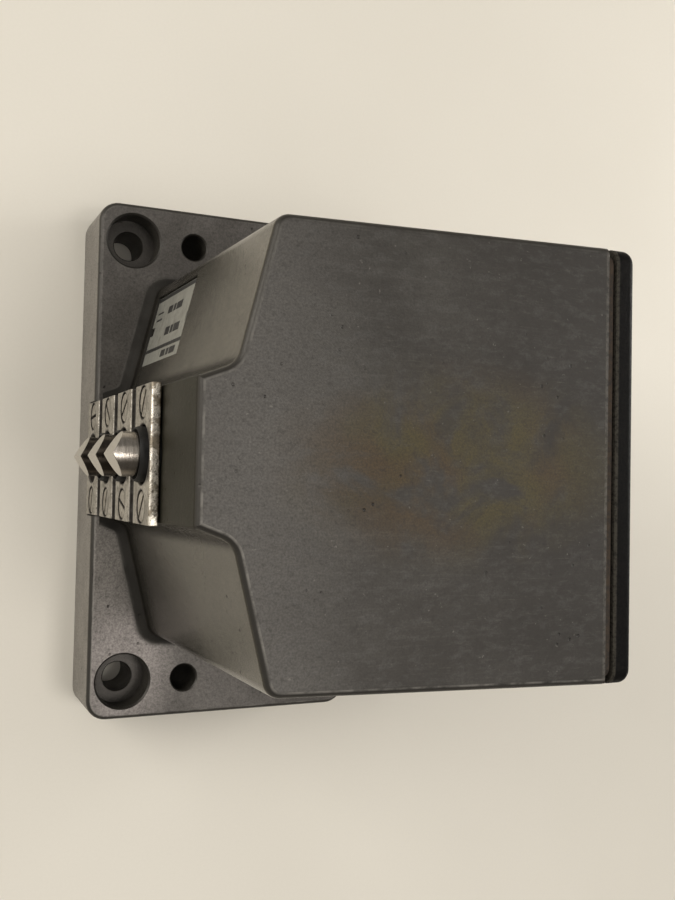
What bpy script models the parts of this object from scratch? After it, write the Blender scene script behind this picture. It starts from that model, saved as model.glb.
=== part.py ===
"""Multi-position limit switch with chisel plungers in a die-cast housing.

Run it with: blender --background --python part.py

Frame: +Z up from the mounting face, which is the flat back of the flange at Z = 0. The plungers
point along -X and the rear cover faces +X. The object is centred in X and Y.
Inside the script, x is measured from the front edge of the flange, which the empty front_edge holds.
"""

import math

import bmesh
import bpy
from mathutils import Matrix, Vector

# Driving dimensions, in metres.
PITCH = 0.016               # plunger to plunger
POSITIONS = 4               # places for a plunger, the lowest one of them blanked off
FIRST_Z = 0.0192            # axis of the lowest position above the mounting face
BODY_HEIGHT = 0.095
SHOULDER_HALF_WIDTH = 0.0389
REAR_HALF_WIDTH = 0.0408    # the side walls widen towards the open rear
BODY_REAR = 0.0805
FLANGE_LENGTH = 0.063
FLANGE_WIDTH = 0.117
FLANGE_THICKNESS = 0.0183
FIXING_SPACING = 0.100      # between the two rows of flange holes
PLUNGER_RADIUS = 0.004
PLUNGER_TRAVEL = 0.005
BUTTON_TRAVEL = 0.002       # of the switch button, while the plunger makes its whole travel
GAP = 0.0003                # between pieces that touch

# Casting.
NOSE_HALF_WIDTH = 0.0118
NOSE_FRONT = 0.0017                  # flat face that the guide plate is screwed to
NECK = Vector((0.0081, 0.0143))      # where the nose meets the shoulder, x and half-width
SHOULDER_X = 0.0143
POCKET_BOTTOM = 0.0129               # the guide plate's pocket in the nose and the flange
POCKET_HALF_WIDTH = 0.0129
WALL = 0.0045
CAVITY_FRONT = 0.018
CAVITY_HALF_WIDTH = 0.0348
DRAFT = 0.0010                       # how much wider the casting is at the mounting face
FOOT_FILLET = 0.003
EDGE_ROUND = 0.0012
FILLET_STEPS = 3
RIM_STEPS = 2
POST = 0.009                         # side of the corner posts that hold the cover screws

# Front plate and plungers, x from the flange's front edge.
PLATE_FRONT = -0.0004
PLATE_BACK = NOSE_FRONT - GAP
PLATE_HALF_WIDTH = 0.0125
PLATE_MARGIN = 0.0061
GROOVE_WIDTH = 0.004
GROOVE_DEPTH = 0.0009
PLATE_BORE = 0.0053
GUIDE_SCREW_Y = 0.0093
TIP_X = -0.0064
ROOF_ANGLE = math.radians(30)
PLUNGER_END = 0.025
PLUNGER_BORE = 0.0024
PLUNGER_BORE_END = 0.009
BUSH_BORE_RADIUS = 0.0055
SEAT_END = 0.0032                    # back of the seal's seat in the nose
RING_X = 0.0171
RING_THICKNESS = 0.0012

# Switches.
CARRIER_X = 0.031
CARRIER_THICKNESS = 0.0015
CARRIER_SCREW_Y = 0.027
CASE_X = CARRIER_X + CARRIER_THICKNESS + GAP
CASE_END = 0.056
CASE_HALF_WIDTH = 0.013
CASE_HALF_HEIGHT = 0.0065
BUTTON_X = 0.0348
TERMINAL_Y = 0.0075
CHAMBER_X = (0.0362, 0.0455)         # the contact chamber, front and back
CHAMBER_HALF_HEIGHT = 0.0036
BRIDGE_X = 0.0400
BRIDGE_HALF_WIDTH = 0.0105
EARTH_X = 0.068
EARTH_Y = 0.015

# Rear.
GASKET_THICKNESS = 0.0017
GASKET_X = BODY_REAR + GAP
COVER_X = GASKET_X + GASKET_THICKNESS + GAP
COVER_THICKNESS = 0.0044
COVER_END = COVER_X + COVER_THICKNESS

# Flange holes, x from the front edge.
FIXING_X = 0.0079
FIXING_RADIUS = 0.0033
FIXING_COUNTERBORE = 0.006
COUNTERBORE_DEPTH = 0.0064
PIN_HOLE_X = 0.022
PIN_HOLE_RADIUS = 0.003

# Cable entry in the -Y wall.
ENTRY_X = 0.066
ENTRY_Z = 0.045
ENTRY_RADIUS = 0.0098
ENTRY_FACE_Y = -0.0402      # the milled face round the entry
ENTRY_FACE_RADIUS = 0.0132

# Type label in the shoulder wall.
LABEL_WIDTH = 0.016         # along the wall
LABEL_HEIGHT = 0.0295       # up the wall
LABEL_FROM_CORNER = 0.0114  # from the shoulder's outer corner to the middle of the label
LABEL_Z = 0.038
LABEL_THICKNESS = 0.0004
LABEL_RECESS = 0.001

ROUND = 24                  # sides of a round piece
SMALL_ROUND = 14
FRONT_EDGE_X = -(TIP_X + COVER_END) / 2
TO_MINUS_X = Matrix.Rotation(-math.pi / 2, 4, "Y")
TO_PLUS_X = Matrix.Rotation(math.pi / 2, 4, "Y")
TO_MINUS_Y = Matrix.Rotation(math.pi / 2, 4, "X")

PLUNGER_NUMBERS = (1, 2, 3)
BLANK_NUMBER = 4

# How far each guide screw's slot is turned from upright, in degrees: the +Y side, then the -Y side.
SLOT_TURNS = {1: (55, 51), 2: (32, 162), 3: (141, 66), 4: (6, 67)}


def position_z(number):
    """Height of a plunger axis. Position 1 is the highest."""
    return FIRST_Z + (POSITIONS - number) * PITCH


# ---------------------------------------------------------------- scene and materials


def clear_scene():
    for obj in list(bpy.data.objects):
        bpy.data.objects.remove(obj)


clear_scene()
PARTS = bpy.data.collections.new("limit_switch")
CUTTERS = bpy.data.collections.new("cutters")
bpy.context.scene.collection.children.link(PARTS)
bpy.context.scene.collection.children.link(CUTTERS)
FRONT_EDGE = bpy.data.objects.new("front_edge", None)
FRONT_EDGE.location.x = FRONT_EDGE_X
PARTS.objects.link(FRONT_EDGE)


def make_material(name, colour, roughness, metallic):
    material = bpy.data.materials.new(name)
    material.use_nodes = True
    shader = material.node_tree.nodes["Principled BSDF"]
    shader.inputs["Base Color"].default_value = (*colour, 1)
    shader.inputs["Roughness"].default_value = roughness
    shader.inputs["Metallic"].default_value = metallic
    material.diffuse_color = (*colour, 1)
    return material


CASTING = make_material("grey_casting", (0.085, 0.08, 0.072), 0.45, 0.7)
COVER_PLASTIC = make_material("black_plastic", (0.012, 0.012, 0.011), 0.5, 0.0)
RUBBER = make_material("black_rubber", (0.01, 0.01, 0.01), 0.7, 0.0)
GASKET_FIBRE = make_material("gasket", (0.04, 0.028, 0.02), 0.8, 0.0)
NICKEL = make_material("nickel_plate", (0.55, 0.5, 0.43), 0.35, 1.0)
STAINLESS = make_material("stainless", (0.6, 0.57, 0.53), 0.25, 1.0)
BRONZE = make_material("bronze", (0.45, 0.28, 0.12), 0.4, 1.0)
SPRING_STEEL = make_material("spring_steel", (0.4, 0.4, 0.4), 0.3, 1.0)
ZINC = make_material("zinc_steel", (0.5, 0.5, 0.48), 0.35, 1.0)
THERMOSET = make_material("switch_case", (0.3, 0.24, 0.16), 0.6, 0.0)
LABEL_METAL = make_material("label", (0.5, 0.5, 0.46), 0.45, 0.3)


# ---------------------------------------------------------------- shape helpers


def add_object(name, mesh, material=None):
    """A part, or a cutter where it has no material, placed from the front edge."""
    obj = bpy.data.objects.new(name, mesh)
    obj.parent = FRONT_EDGE
    if material:
        PARTS.objects.link(obj)
        if not mesh.materials:
            mesh.materials.append(material)
        return obj
    CUTTERS.objects.link(obj)
    obj.hide_render = True
    obj.display_type = "WIRE"
    return obj


def mesh_from(build):
    """The mesh that a function of a bmesh makes."""
    bm = bmesh.new()
    build(bm)
    mesh = bpy.data.meshes.new("mesh")
    bm.to_mesh(mesh)
    bm.free()
    return mesh


def baked_mesh(obj):
    """The object's evaluated mesh, with its loose caps welded. The object is removed."""
    bpy.context.view_layer.update()
    mesh = bpy.data.meshes.new_from_object(obj.evaluated_get(bpy.context.evaluated_depsgraph_get()))
    bm = bmesh.new()
    bm.from_mesh(mesh)
    bmesh.ops.remove_doubles(bm, verts=bm.verts, dist=1e-6)
    bm.to_mesh(mesh)
    bm.free()
    mesh.materials.clear()
    bpy.data.objects.remove(obj)
    return mesh


def rounded(corners, steps=4):
    """Points of a closed outline. A corner is (point, radius), and a radius of 0 stays sharp."""
    points = []
    for index, (corner, radius) in enumerate(corners):
        before = Vector(corners[index - 1][0]) - Vector(corner)
        after = Vector(corners[(index + 1) % len(corners)][0]) - Vector(corner)
        if not radius:
            points.append(Vector(corner))
            continue
        half_angle = before.angle(after) / 2
        to_centre = (before.normalized() + after.normalized()).normalized()
        centre = Vector(corner) + to_centre * (radius / math.sin(half_angle))
        start = Vector(corner) + before.normalized() * (radius / math.tan(half_angle)) - centre
        end = Vector(corner) + after.normalized() * (radius / math.tan(half_angle)) - centre
        turn = start.angle_signed(end)
        for step in range(steps + 1):
            angle = -turn * step / steps
            points.append(centre + Matrix.Rotation(angle, 2) @ start)
    return points


def prism_mesh(outline, thickness):
    """A flat outline extruded from z = 0 to its thickness."""
    curve = bpy.data.curves.new("outline", "CURVE")
    curve.dimensions = "2D"
    curve.fill_mode = "BOTH"
    curve.extrude = thickness / 2
    spline = curve.splines.new("POLY")
    spline.points.add(len(outline) - 1)
    for point, place in zip(spline.points, outline):
        point.co = (place[0], place[1], 0, 1)
    spline.use_cyclic_u = True
    obj = bpy.data.objects.new("outline", curve)
    CUTTERS.objects.link(obj)
    mesh = baked_mesh(obj)
    mesh.transform(Matrix.Translation((0, 0, thickness / 2)))
    return mesh


def box_mesh(low, high):
    size = Vector(high) - Vector(low)
    centre = (Vector(high) + Vector(low)) / 2
    place = Matrix.Translation(centre) @ Matrix.Diagonal((*size, 1))
    return mesh_from(lambda bm: bmesh.ops.create_cube(bm, size=1, matrix=place))


def cylinder_mesh(radius, low, high, sides=ROUND, top_radius=None):
    """A cylinder or cone along Z, from z = low to z = high."""
    place = Matrix.Translation((0, 0, (low + high) / 2))

    def build(bm):
        bmesh.ops.create_cone(
            bm,
            cap_ends=True,
            segments=sides,
            radius1=radius,
            radius2=radius if top_radius is None else top_radius,
            depth=high - low,
            matrix=place,
        )

    return mesh_from(build)


def turned_mesh(profile, sides=ROUND):
    """A turned solid about Z. The profile is (radius, z), down the outer side.

    It is closed up again along the inner side where it has a bore.
    """
    has_bore = profile[0][0] > 0

    def build(bm):
        points = [bm.verts.new((radius, 0, height)) for radius, height in profile]
        for first, second in zip(points, points[1:]):
            bm.edges.new((first, second))
        if has_bore:
            bm.edges.new((points[-1], points[0]))

    obj = bpy.data.objects.new("profile", mesh_from(build))
    CUTTERS.objects.link(obj)
    screw = obj.modifiers.new("turn", "SCREW")
    screw.steps = sides
    screw.render_steps = sides
    screw.use_merge_vertices = True
    screw.merge_threshold = 1e-5
    return baked_mesh(obj)


def placed(mesh, *matrices):
    """A copy of the mesh, moved by the matrices, the last one first."""
    copy = mesh.copy()
    whole = Matrix.Identity(4)
    for matrix in matrices:
        whole = whole @ matrix
    copy.transform(whole)
    return copy


def cut(obj, *meshes, operation="DIFFERENCE"):
    """Cuts each mesh from the object, or joins it, as a Boolean modifier for each."""
    for mesh in meshes:
        tool = add_object(f"{obj.name}_tool", mesh)
        modifier = obj.modifiers.new("cut", "BOOLEAN")
        modifier.operation = operation
        modifier.object = tool


def shade_round(obj, degrees=35):
    for polygon in obj.data.polygons:
        polygon.use_smooth = True
    obj.data.set_sharp_from_angle(angle=math.radians(degrees))


def at(x, y, z):
    return Matrix.Translation((x, y, z))


# ---------------------------------------------------------------- casting


def body_outline():
    """The casting seen from above, from the nose to the rear face, counter-clockwise."""
    half = [
        ((NOSE_FRONT, NOSE_HALF_WIDTH), 0.0),
        (tuple(NECK), 0.004),
        ((SHOULDER_X, SHOULDER_HALF_WIDTH), 0.003),
        ((BODY_REAR, REAR_HALF_WIDTH), 0.0),
    ]
    mirrored = [((x, -y), radius) for (x, y), radius in half]
    return rounded(list(reversed(half)) + mirrored)


def flange_outline():
    half = [((FLANGE_LENGTH, FLANGE_WIDTH / 2), 0.005), ((0, FLANGE_WIDTH / 2), 0.0045)]
    mirrored = [((x, -y), radius) for (x, y), radius in reversed(half)]
    return rounded(half + mirrored)


def rectangle(half_width, low, high, radius):
    """Rounded corners in Y and Z, counter-clockwise."""
    sides = [(-half_width, low), (half_width, low), (half_width, high), (-half_width, high)]
    return [(corner, radius) for corner in sides]


def cavity_outline(inset):
    """The opening of the casting in Y and Z, with a post left in each corner."""
    side = CAVITY_HALF_WIDTH - inset
    low, high = WALL + inset, BODY_HEIGHT - WALL - inset
    corners = []
    for y, z in ((side, high), (-side, high), (-side, low), (side, low)):
        inner_y = y - math.copysign(POST, y)
        inner_z = z + (POST if z == low else -POST)
        step = [((y, inner_z), 0.001), ((inner_y, inner_z), 0.002), ((inner_y, z), 0.001)]
        corners += step if y * (z - (low + high) / 2) > 0 else step[::-1]
    return rounded(corners, steps=2)


def along_x(mesh, x):
    """A prism drawn in Y and Z, which starts at x and runs to the rear."""
    turn = Matrix(((0, 0, 1, 0), (1, 0, 0, 0), (0, 1, 0, 0), (0, 0, 0, 1)))
    return placed(mesh, at(x, 0, 0), turn)


def flared(point, height):
    """A point of the casting's outline, moved outwards as the wall's draft does lower down."""
    share = 1 - height / BODY_HEIGHT
    x = point.x if point.x > BODY_REAR - 1e-4 else point.x - DRAFT * share
    return Vector((x, point.y * (1 + DRAFT * share / REAR_HALF_WIDTH)))


def spread(outline, distance):
    """The outline moved outwards by a distance. Its corners stay corners."""
    moved = []
    for index, point in enumerate(outline):
        before = (point - outline[index - 1]).normalized()
        after = (outline[(index + 1) % len(outline)] - point).normalized()
        normal = Vector((before.y + after.y, -before.x - after.x)).normalized()
        moved.append(point + normal * distance / normal.dot(Vector((after.y, -after.x))))
    return moved


def stacked_mesh(rings):
    """A closed solid through rings of the same number of points. A ring is (outline, height)."""

    def build(bm):
        rows = [[bm.verts.new((x, y, height)) for x, y in outline] for outline, height in rings]
        for lower, upper in zip(rows, rows[1:]):
            for index in range(len(lower)):
                bm.faces.new((lower[index - 1], lower[index], upper[index], upper[index - 1]))
        bm.faces.new(rows[0][::-1])
        bm.faces.new(rows[-1])

    return mesh_from(build)


def body_mesh():
    """The drafted body, with its upper rim rounded except along the rear face."""
    outline = body_outline()
    rings = [([flared(point, height) for point in outline], height) for height in (0, BODY_HEIGHT)]
    mesh = stacked_mesh(rings)
    round_rim(mesh, BODY_HEIGHT, BODY_REAR)
    return mesh


def foot_mesh():
    """The fillet between the walls and the flange, solid all the way through."""
    outline = body_outline()
    rings = [(spread(outline, FOOT_FILLET), FLANGE_THICKNESS / 2)]
    for step in range(FILLET_STEPS + 1):
        angle = step / FILLET_STEPS * math.pi / 2
        height = FLANGE_THICKNESS + FOOT_FILLET * (1 - math.cos(angle))
        wall = [flared(point, height) for point in outline]
        rings.append((spread(wall, FOOT_FILLET * (1 - math.sin(angle)) - 1e-5), height))
    return stacked_mesh(rings)


def round_rim(mesh, height, sharp_from_x):
    """Rounds the upper rim of a prism, except where it lies at sharp_from_x."""
    bm = bmesh.new()
    bm.from_mesh(mesh)
    rim = [
        edge for edge in bm.edges
        if all(abs(vertex.co.z - height) < 1e-5 for vertex in edge.verts)
        and not all(vertex.co.x > sharp_from_x - 1e-4 for vertex in edge.verts)
    ]
    bmesh.ops.bevel(bm, geom=rim, offset=EDGE_ROUND, segments=RIM_STEPS, profile=0.5, affect="EDGES")
    bm.to_mesh(mesh)
    bm.free()


def wall_frame():
    """A frame in the middle of the label's place: x along the wall, y up it, z out of it."""
    corner = flared(Vector((SHOULDER_X, SHOULDER_HALF_WIDTH)), LABEL_Z).to_3d()
    neck = flared(NECK, LABEL_Z).to_3d()
    corner.z = neck.z = LABEL_Z
    along = (neck - corner).normalized()
    above = flared(Vector((SHOULDER_X, SHOULDER_HALF_WIDTH)), BODY_HEIGHT).to_3d()
    above.z = BODY_HEIGHT
    out = along.cross(above - corner).normalized()
    up = out.cross(along)
    centre = corner + along * LABEL_FROM_CORNER
    frame = Matrix((along, up, out)).transposed().to_4x4()
    frame.translation = centre
    return frame


def nose_cutters():
    """Bores of the nose: a seat for each seal, a bore for each bush, and the screw holes."""
    seat = [(0.0064, SEAT_END), (0.0064, 0.001), (0, 0.001)]
    bore_end = CAVITY_FRONT + 0.0005
    through = [(0, bore_end), (BUSH_BORE_RADIUS, bore_end), (BUSH_BORE_RADIUS, SEAT_END)]
    for number in range(1, POSITIONS + 1):
        z = position_z(number)
        start = [(0, SEAT_END)] if number == BLANK_NUMBER else through
        yield placed(turned_mesh(start + seat), at(0, 0, z), TO_PLUS_X)
        for side in (-1, 1):
            hole = cylinder_mesh(0.0017, 0.001, 0.011, SMALL_ROUND)
            yield placed(hole, at(0, side * GUIDE_SCREW_Y, z), TO_PLUS_X)


def flange_cutters():
    floor = FLANGE_THICKNESS - COUNTERBORE_DEPTH
    top = FLANGE_THICKNESS + 0.001
    counterbored = turned_mesh(
        [(0, top), (FIXING_COUNTERBORE, top), (FIXING_COUNTERBORE, floor), (FIXING_RADIUS, floor),
         (FIXING_RADIUS, -0.001), (0, -0.001)]
    )
    straight = cylinder_mesh(PIN_HOLE_RADIUS, -0.001, top)
    for side in (-1, 1):
        y = side * FIXING_SPACING / 2
        yield placed(counterbored, at(FIXING_X, y, 0))
        yield placed(straight, at(PIN_HOLE_X, y, 0))


def trim(mesh, low, high):
    """Cuts a closed solid off square in front of one x and behind another."""
    bm = bmesh.new()
    bm.from_mesh(mesh)
    for x, normal in ((low, (-1, 0, 0)), (high, (1, 0, 0))):
        everything = bm.verts[:] + bm.edges[:] + bm.faces[:]
        sliced = bmesh.ops.bisect_plane(
            bm, geom=everything, plane_co=(x, 0, 0), plane_no=normal, clear_outer=True
        )
        rim = [item for item in sliced["geom_cut"] if isinstance(item, bmesh.types.BMEdge)]
        bmesh.ops.contextual_create(bm, geom=rim)
    bm.to_mesh(mesh)
    bm.free()


def cover_screw_places():
    """Y and Z of the four cover screws, lowest first."""
    side = CAVITY_HALF_WIDTH - POST / 2 + 0.001
    inset = WALL + POST / 2 - 0.001
    for z in (inset, BODY_HEIGHT - inset):
        for y in (-side, side):
            yield y, z


def carrier_screw_places():
    middle = (position_z(1) + position_z(BLANK_NUMBER)) / 2
    return [(-CARRIER_SCREW_Y, middle), (CARRIER_SCREW_Y, middle)]


def make_housing():
    housing = add_object("housing", body_mesh(), CASTING)
    flange = stacked_mesh([(flange_outline(), 0), (flange_outline(), FLANGE_THICKNESS)])
    round_rim(flange, FLANGE_THICKNESS, BODY_REAR)
    foot = foot_mesh()
    trim(foot, NOSE_FRONT, FLANGE_LENGTH - EDGE_ROUND)
    cut(housing, flange, foot, operation="UNION")

    pocket_low = (-0.01, -POCKET_HALF_WIDTH, POCKET_BOTTOM)
    cut(housing, box_mesh(pocket_low, (NOSE_FRONT, POCKET_HALF_WIDTH, BODY_HEIGHT + 0.01)))
    cut(housing, along_x(prism_mesh(cavity_outline(0), 0.1), CAVITY_FRONT))
    for y, z in carrier_screw_places():
        boss_end = CARRIER_X - GAP
        boss = cylinder_mesh(0.0045, CAVITY_FRONT - 0.001, boss_end, SMALL_ROUND)
        cut(housing, placed(boss, at(0, y, z), TO_PLUS_X), operation="UNION")
        hole = cylinder_mesh(0.0019, CAVITY_FRONT + 0.002, boss_end + 0.001, SMALL_ROUND)
        cut(housing, placed(hole, at(0, y, z), TO_PLUS_X))
    for y, z in cover_screw_places():
        hole = cylinder_mesh(0.0021, BODY_REAR - 0.014, BODY_REAR + 0.001, SMALL_ROUND)
        cut(housing, placed(hole, at(0, y, z), TO_PLUS_X))
    cut(housing, *nose_cutters(), *flange_cutters())
    recess = box_mesh(
        (-LABEL_WIDTH / 2 - GAP, -LABEL_HEIGHT / 2 - GAP, -LABEL_RECESS),
        (LABEL_WIDTH / 2 + GAP, LABEL_HEIGHT / 2 + GAP, LABEL_RECESS),
    )
    cut(housing, placed(recess, wall_frame()))
    entry = cylinder_mesh(ENTRY_RADIUS, 0, 0.01)
    cut(housing, placed(entry, at(ENTRY_X, -0.034, ENTRY_Z), TO_MINUS_Y))
    face = cylinder_mesh(ENTRY_FACE_RADIUS, 0, 0.01, 32)
    cut(housing, placed(face, at(ENTRY_X, ENTRY_FACE_Y, ENTRY_Z), TO_MINUS_Y))
    earth_hole = cylinder_mesh(0.0017, -0.003, 0.001, SMALL_ROUND)
    cut(housing, placed(earth_hole, at(EARTH_X, EARTH_Y, WALL)))
    return housing


def make_label():
    """A plate with a notch in each end, in its recess."""
    half_width, half_height = LABEL_WIDTH / 2, LABEL_HEIGHT / 2
    notch, depth = 0.001, 0.0024
    quarter = [
        ((half_width, -half_height), 0.0), ((half_width, half_height), 0.0),
        ((notch, half_height), 0.0), ((notch, half_height - depth), 0.0),
    ]
    opposite = [((-x, -y), 0.0) for (x, y), _ in quarter]
    other = [((-notch, half_height - depth), 0.0), ((-notch, half_height), 0.0)]
    outline = rounded(quarter + other + opposite + [((-x, -y), 0.0) for (x, y), _ in other])
    mesh = prism_mesh(outline, LABEL_THICKNESS)
    floor = GAP / 2 - LABEL_RECESS
    return add_object("type_label", placed(mesh, wall_frame(), at(0, 0, floor)), LABEL_METAL)


# ---------------------------------------------------------------- fasteners


def slotted(mesh, slot_width, slot_depth, reach):
    """Cuts a screwdriver slot along X into a screw whose head is topped at z = 0."""
    obj = bpy.data.objects.new("screw", mesh)
    CUTTERS.objects.link(obj)
    tool = bpy.data.objects.new(
        "slot", box_mesh((-reach, -slot_width / 2, -slot_depth), (reach, slot_width / 2, slot_depth))
    )
    CUTTERS.objects.link(tool)
    modifier = obj.modifiers.new("slot", "BOOLEAN")
    modifier.operation = "DIFFERENCE"
    modifier.object = tool
    mesh = baked_mesh(obj)
    bpy.data.objects.remove(tool)
    return mesh


def countersunk_screw(head_radius, shank_radius, head_height, length, slot_width):
    profile = [
        (0, 0), (head_radius, 0), (head_radius, -0.0003), (shank_radius, -head_height),
        (shank_radius, -length), (0, -length),
    ]
    return slotted(turned_mesh(profile, SMALL_ROUND), slot_width, head_height * 0.55, head_radius * 2)


def cheese_screw(head_radius, shank_radius, head_height, length, slot_width):
    """The head sits above z = -head_height, its top at z = 0."""
    chamfer = head_height * 0.15
    profile = [
        (0, 0), (head_radius - chamfer, 0), (head_radius, -chamfer), (head_radius, -head_height),
        (shank_radius, -head_height), (shank_radius, -length), (0, -length),
    ]
    return slotted(turned_mesh(profile, SMALL_ROUND), slot_width, head_height * 0.5, head_radius * 2)


def place_screw(name, mesh, material, location, facing, slot_degrees=0):
    """A copy that shares its mesh. Its head looks along `facing`, a matrix that turns +Z there."""
    screw = add_object(name, mesh, material)
    turn = facing @ Matrix.Rotation(math.radians(slot_degrees), 4, "Z")
    screw.matrix_local = at(*location) @ turn
    return screw


def make_screws():
    guide = countersunk_screw(0.0028, 0.0014, 0.0014, 0.0095, 0.0007)
    for number in range(1, POSITIONS + 1):
        for side, letter, turn in ((1, "a", SLOT_TURNS[number][0]), (-1, "b", SLOT_TURNS[number][1])):
            place_screw(
                f"guide_screw_{number}{letter}", guide, ZINC,
                (PLATE_FRONT + 0.0001, side * GUIDE_SCREW_Y, position_z(number)), TO_MINUS_X, turn,
            )
    cover = countersunk_screw(0.0037, 0.0018, 0.0019, 0.015, 0.001)
    for index, (y, z) in enumerate(cover_screw_places(), start=1):
        place_screw(f"cover_screw_{index}", cover, ZINC, (COVER_END - 0.0002, y, z), TO_PLUS_X, 37 * index)
    carrier = cheese_screw(0.003, 0.0016, 0.0018, 0.010, 0.0008)
    head_top = CARRIER_X + CARRIER_THICKNESS + GAP + 0.0018
    for index, (y, z) in enumerate(carrier_screw_places(), start=1):
        place_screw(f"carrier_screw_{index}", carrier, ZINC, (head_top, y, z), TO_PLUS_X, 50 * index)
    terminal = cheese_screw(0.0025, 0.0014, 0.0016, 0.006, 0.0007)
    for number in PLUNGER_NUMBERS:
        for side, letter in ((1, "a"), (-1, "b")):
            place_screw(
                f"terminal_screw_{number}{letter}", terminal, ZINC,
                (CASE_END + GAP + 0.0016, side * TERMINAL_Y, position_z(number)), TO_PLUS_X, 30 * number,
            )
    earth = cheese_screw(0.0032, 0.0013, 0.0022, 0.0047, 0.0008)
    top = (EARTH_X, EARTH_Y, WALL + GAP + 0.0022)
    place_screw("earth_screw", earth, ZINC, top, Matrix.Identity(4), 20)


# ---------------------------------------------------------------- plunger head


def make_guide_plate():
    low = position_z(BLANK_NUMBER) - PLATE_MARGIN
    high = position_z(1) + PLATE_MARGIN
    plate = add_object(
        "guide_plate",
        box_mesh((PLATE_FRONT, -PLATE_HALF_WIDTH, low), (PLATE_BACK, PLATE_HALF_WIDTH, high)),
        NICKEL,
    )
    bm = bmesh.new()
    bm.from_mesh(plate.data)
    front = [e for e in bm.edges if all(v.co.x < PLATE_FRONT + 1e-6 for v in e.verts)]
    bmesh.ops.bevel(bm, geom=front, offset=0.0005, segments=2, profile=0.5, affect="EDGES")
    bm.to_mesh(plate.data)
    bm.free()
    reach = PLATE_HALF_WIDTH + 0.001
    for number in range(1, POSITIONS):
        z = position_z(number) - PITCH / 2
        groove_low = (-0.005, -reach, z - GROOVE_WIDTH / 2)
        cut(plate, box_mesh(groove_low, (PLATE_FRONT + GROOVE_DEPTH, reach, z + GROOVE_WIDTH / 2)))
    screw_hole = turned_mesh(
        [(0, 0.001), (0.0030, 0.001), (0.0030, -0.0004), (0.0017, -0.0017), (0.0017, -0.004), (0, -0.004)],
        SMALL_ROUND,
    )
    for number in range(1, POSITIONS + 1):
        z = position_z(number)
        cut(plate, placed(cylinder_mesh(PLATE_BORE, -0.005, 0.005), at(0, 0, z), TO_PLUS_X))
        for side in (-1, 1):
            cut(plate, placed(screw_hole, at(PLATE_FRONT, side * GUIDE_SCREW_Y, z), TO_MINUS_X))
    return plate


def make_plunger(number):
    """A round rod with a roof-shaped end across Z, a ring groove and a blind bore from behind.

    It is drawn with its axis along +Z and the roof's ridge at z = 0 at the top.
    """
    end = TIP_X - PLUNGER_END
    groove_top = TIP_X - (RING_X - 0.0002)
    groove_bottom = groove_top - RING_THICKNESS - 0.0004
    groove_radius = 0.0032
    bore_top = TIP_X - PLUNGER_BORE_END
    chamfer = 0.0004
    rod = turned_mesh(
        [
            (0, 0), (PLUNGER_RADIUS, 0), (PLUNGER_RADIUS, groove_top), (groove_radius, groove_top),
            (groove_radius, groove_bottom), (PLUNGER_RADIUS, groove_bottom),
            (PLUNGER_RADIUS, end + chamfer), (PLUNGER_RADIUS - chamfer, end),
            (PLUNGER_BORE, end), (PLUNGER_BORE, bore_top), (0, bore_top),
        ]
    )
    place = at(TIP_X, 0, position_z(number)) @ TO_MINUS_X
    plunger = add_object(f"plunger_{number}", rod, STAINLESS)
    plunger.matrix_local = place
    # The rod's own X points along the row, so each slope falls away from the ridge along its Y.
    for side in (-1, 1):
        turned = Matrix.Rotation(0 if side > 0 else math.pi, 4, "Z")
        tilt = Matrix.Rotation(-ROOF_ANGLE, 4, "X")
        slope = box_mesh((-0.01, -0.001, 0), (0.01, 0.01, 0.01))
        cut(plunger, placed(slope, place, turned, tilt))
    shade_round(plunger)
    return plunger


def make_wiper(number):
    """A rubber seal, clamped behind the plate, whose lip leans on the plunger."""
    profile = [
        (0.00445, 0.0018), (0.0050, 0.0004), (0.0050, -0.0020), (0.0061, -0.0020),
        (0.0061, -0.0030), (0.0042, -0.0030), (0.0042, 0.0018),
    ]
    seal = add_object(f"wiper_seal_{number}", turned_mesh(profile), RUBBER)
    seal.matrix_local = at(0, 0, position_z(number)) @ TO_MINUS_X
    shade_round(seal)


def make_bush(number):
    low, high = 0.0034, 0.0168
    profile = [(0.0042, -low), (0.0052, -low), (0.0052, -high), (0.0042, -high)]
    bush = add_object(f"guide_bush_{number}", turned_mesh(profile), BRONZE)
    bush.matrix_local = at(0, 0, position_z(number)) @ TO_MINUS_X
    shade_round(bush)


def make_retaining_ring(number):
    low, high = RING_X, RING_X + RING_THICKNESS
    profile = [(0.0034, -low), (0.0051, -low), (0.0051, -high), (0.0034, -high)]
    ring = add_object(f"retaining_ring_{number}", turned_mesh(profile, SMALL_ROUND), SPRING_STEEL)
    ring.matrix_local = at(0, 0, position_z(number)) @ TO_MINUS_X
    shade_round(ring)


def make_spring(name, number, start, end, radius, wire_radius, turns):
    """A coil along X between two places, its axis on the plunger's."""
    per_turn = 8
    curve = bpy.data.curves.new(name, "CURVE")
    curve.dimensions = "3D"
    curve.bevel_depth = wire_radius
    curve.bevel_resolution = 1
    curve.use_fill_caps = True
    spline = curve.splines.new("POLY")
    count = int(turns * per_turn) + 1
    spline.points.add(count - 1)
    first, last = start + wire_radius, end - wire_radius
    for index, point in enumerate(spline.points):
        share = index / (count - 1)
        angle = share * turns * 2 * math.pi
        point.co = (first + (last - first) * share, radius * math.cos(angle), radius * math.sin(angle), 1)
    obj = bpy.data.objects.new(name, curve)
    PARTS.objects.link(obj)
    mesh = baked_mesh(obj)
    spring = add_object(name, mesh, SPRING_STEEL)
    spring.location = (0, 0, position_z(number))
    shade_round(spring, 60)


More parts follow.
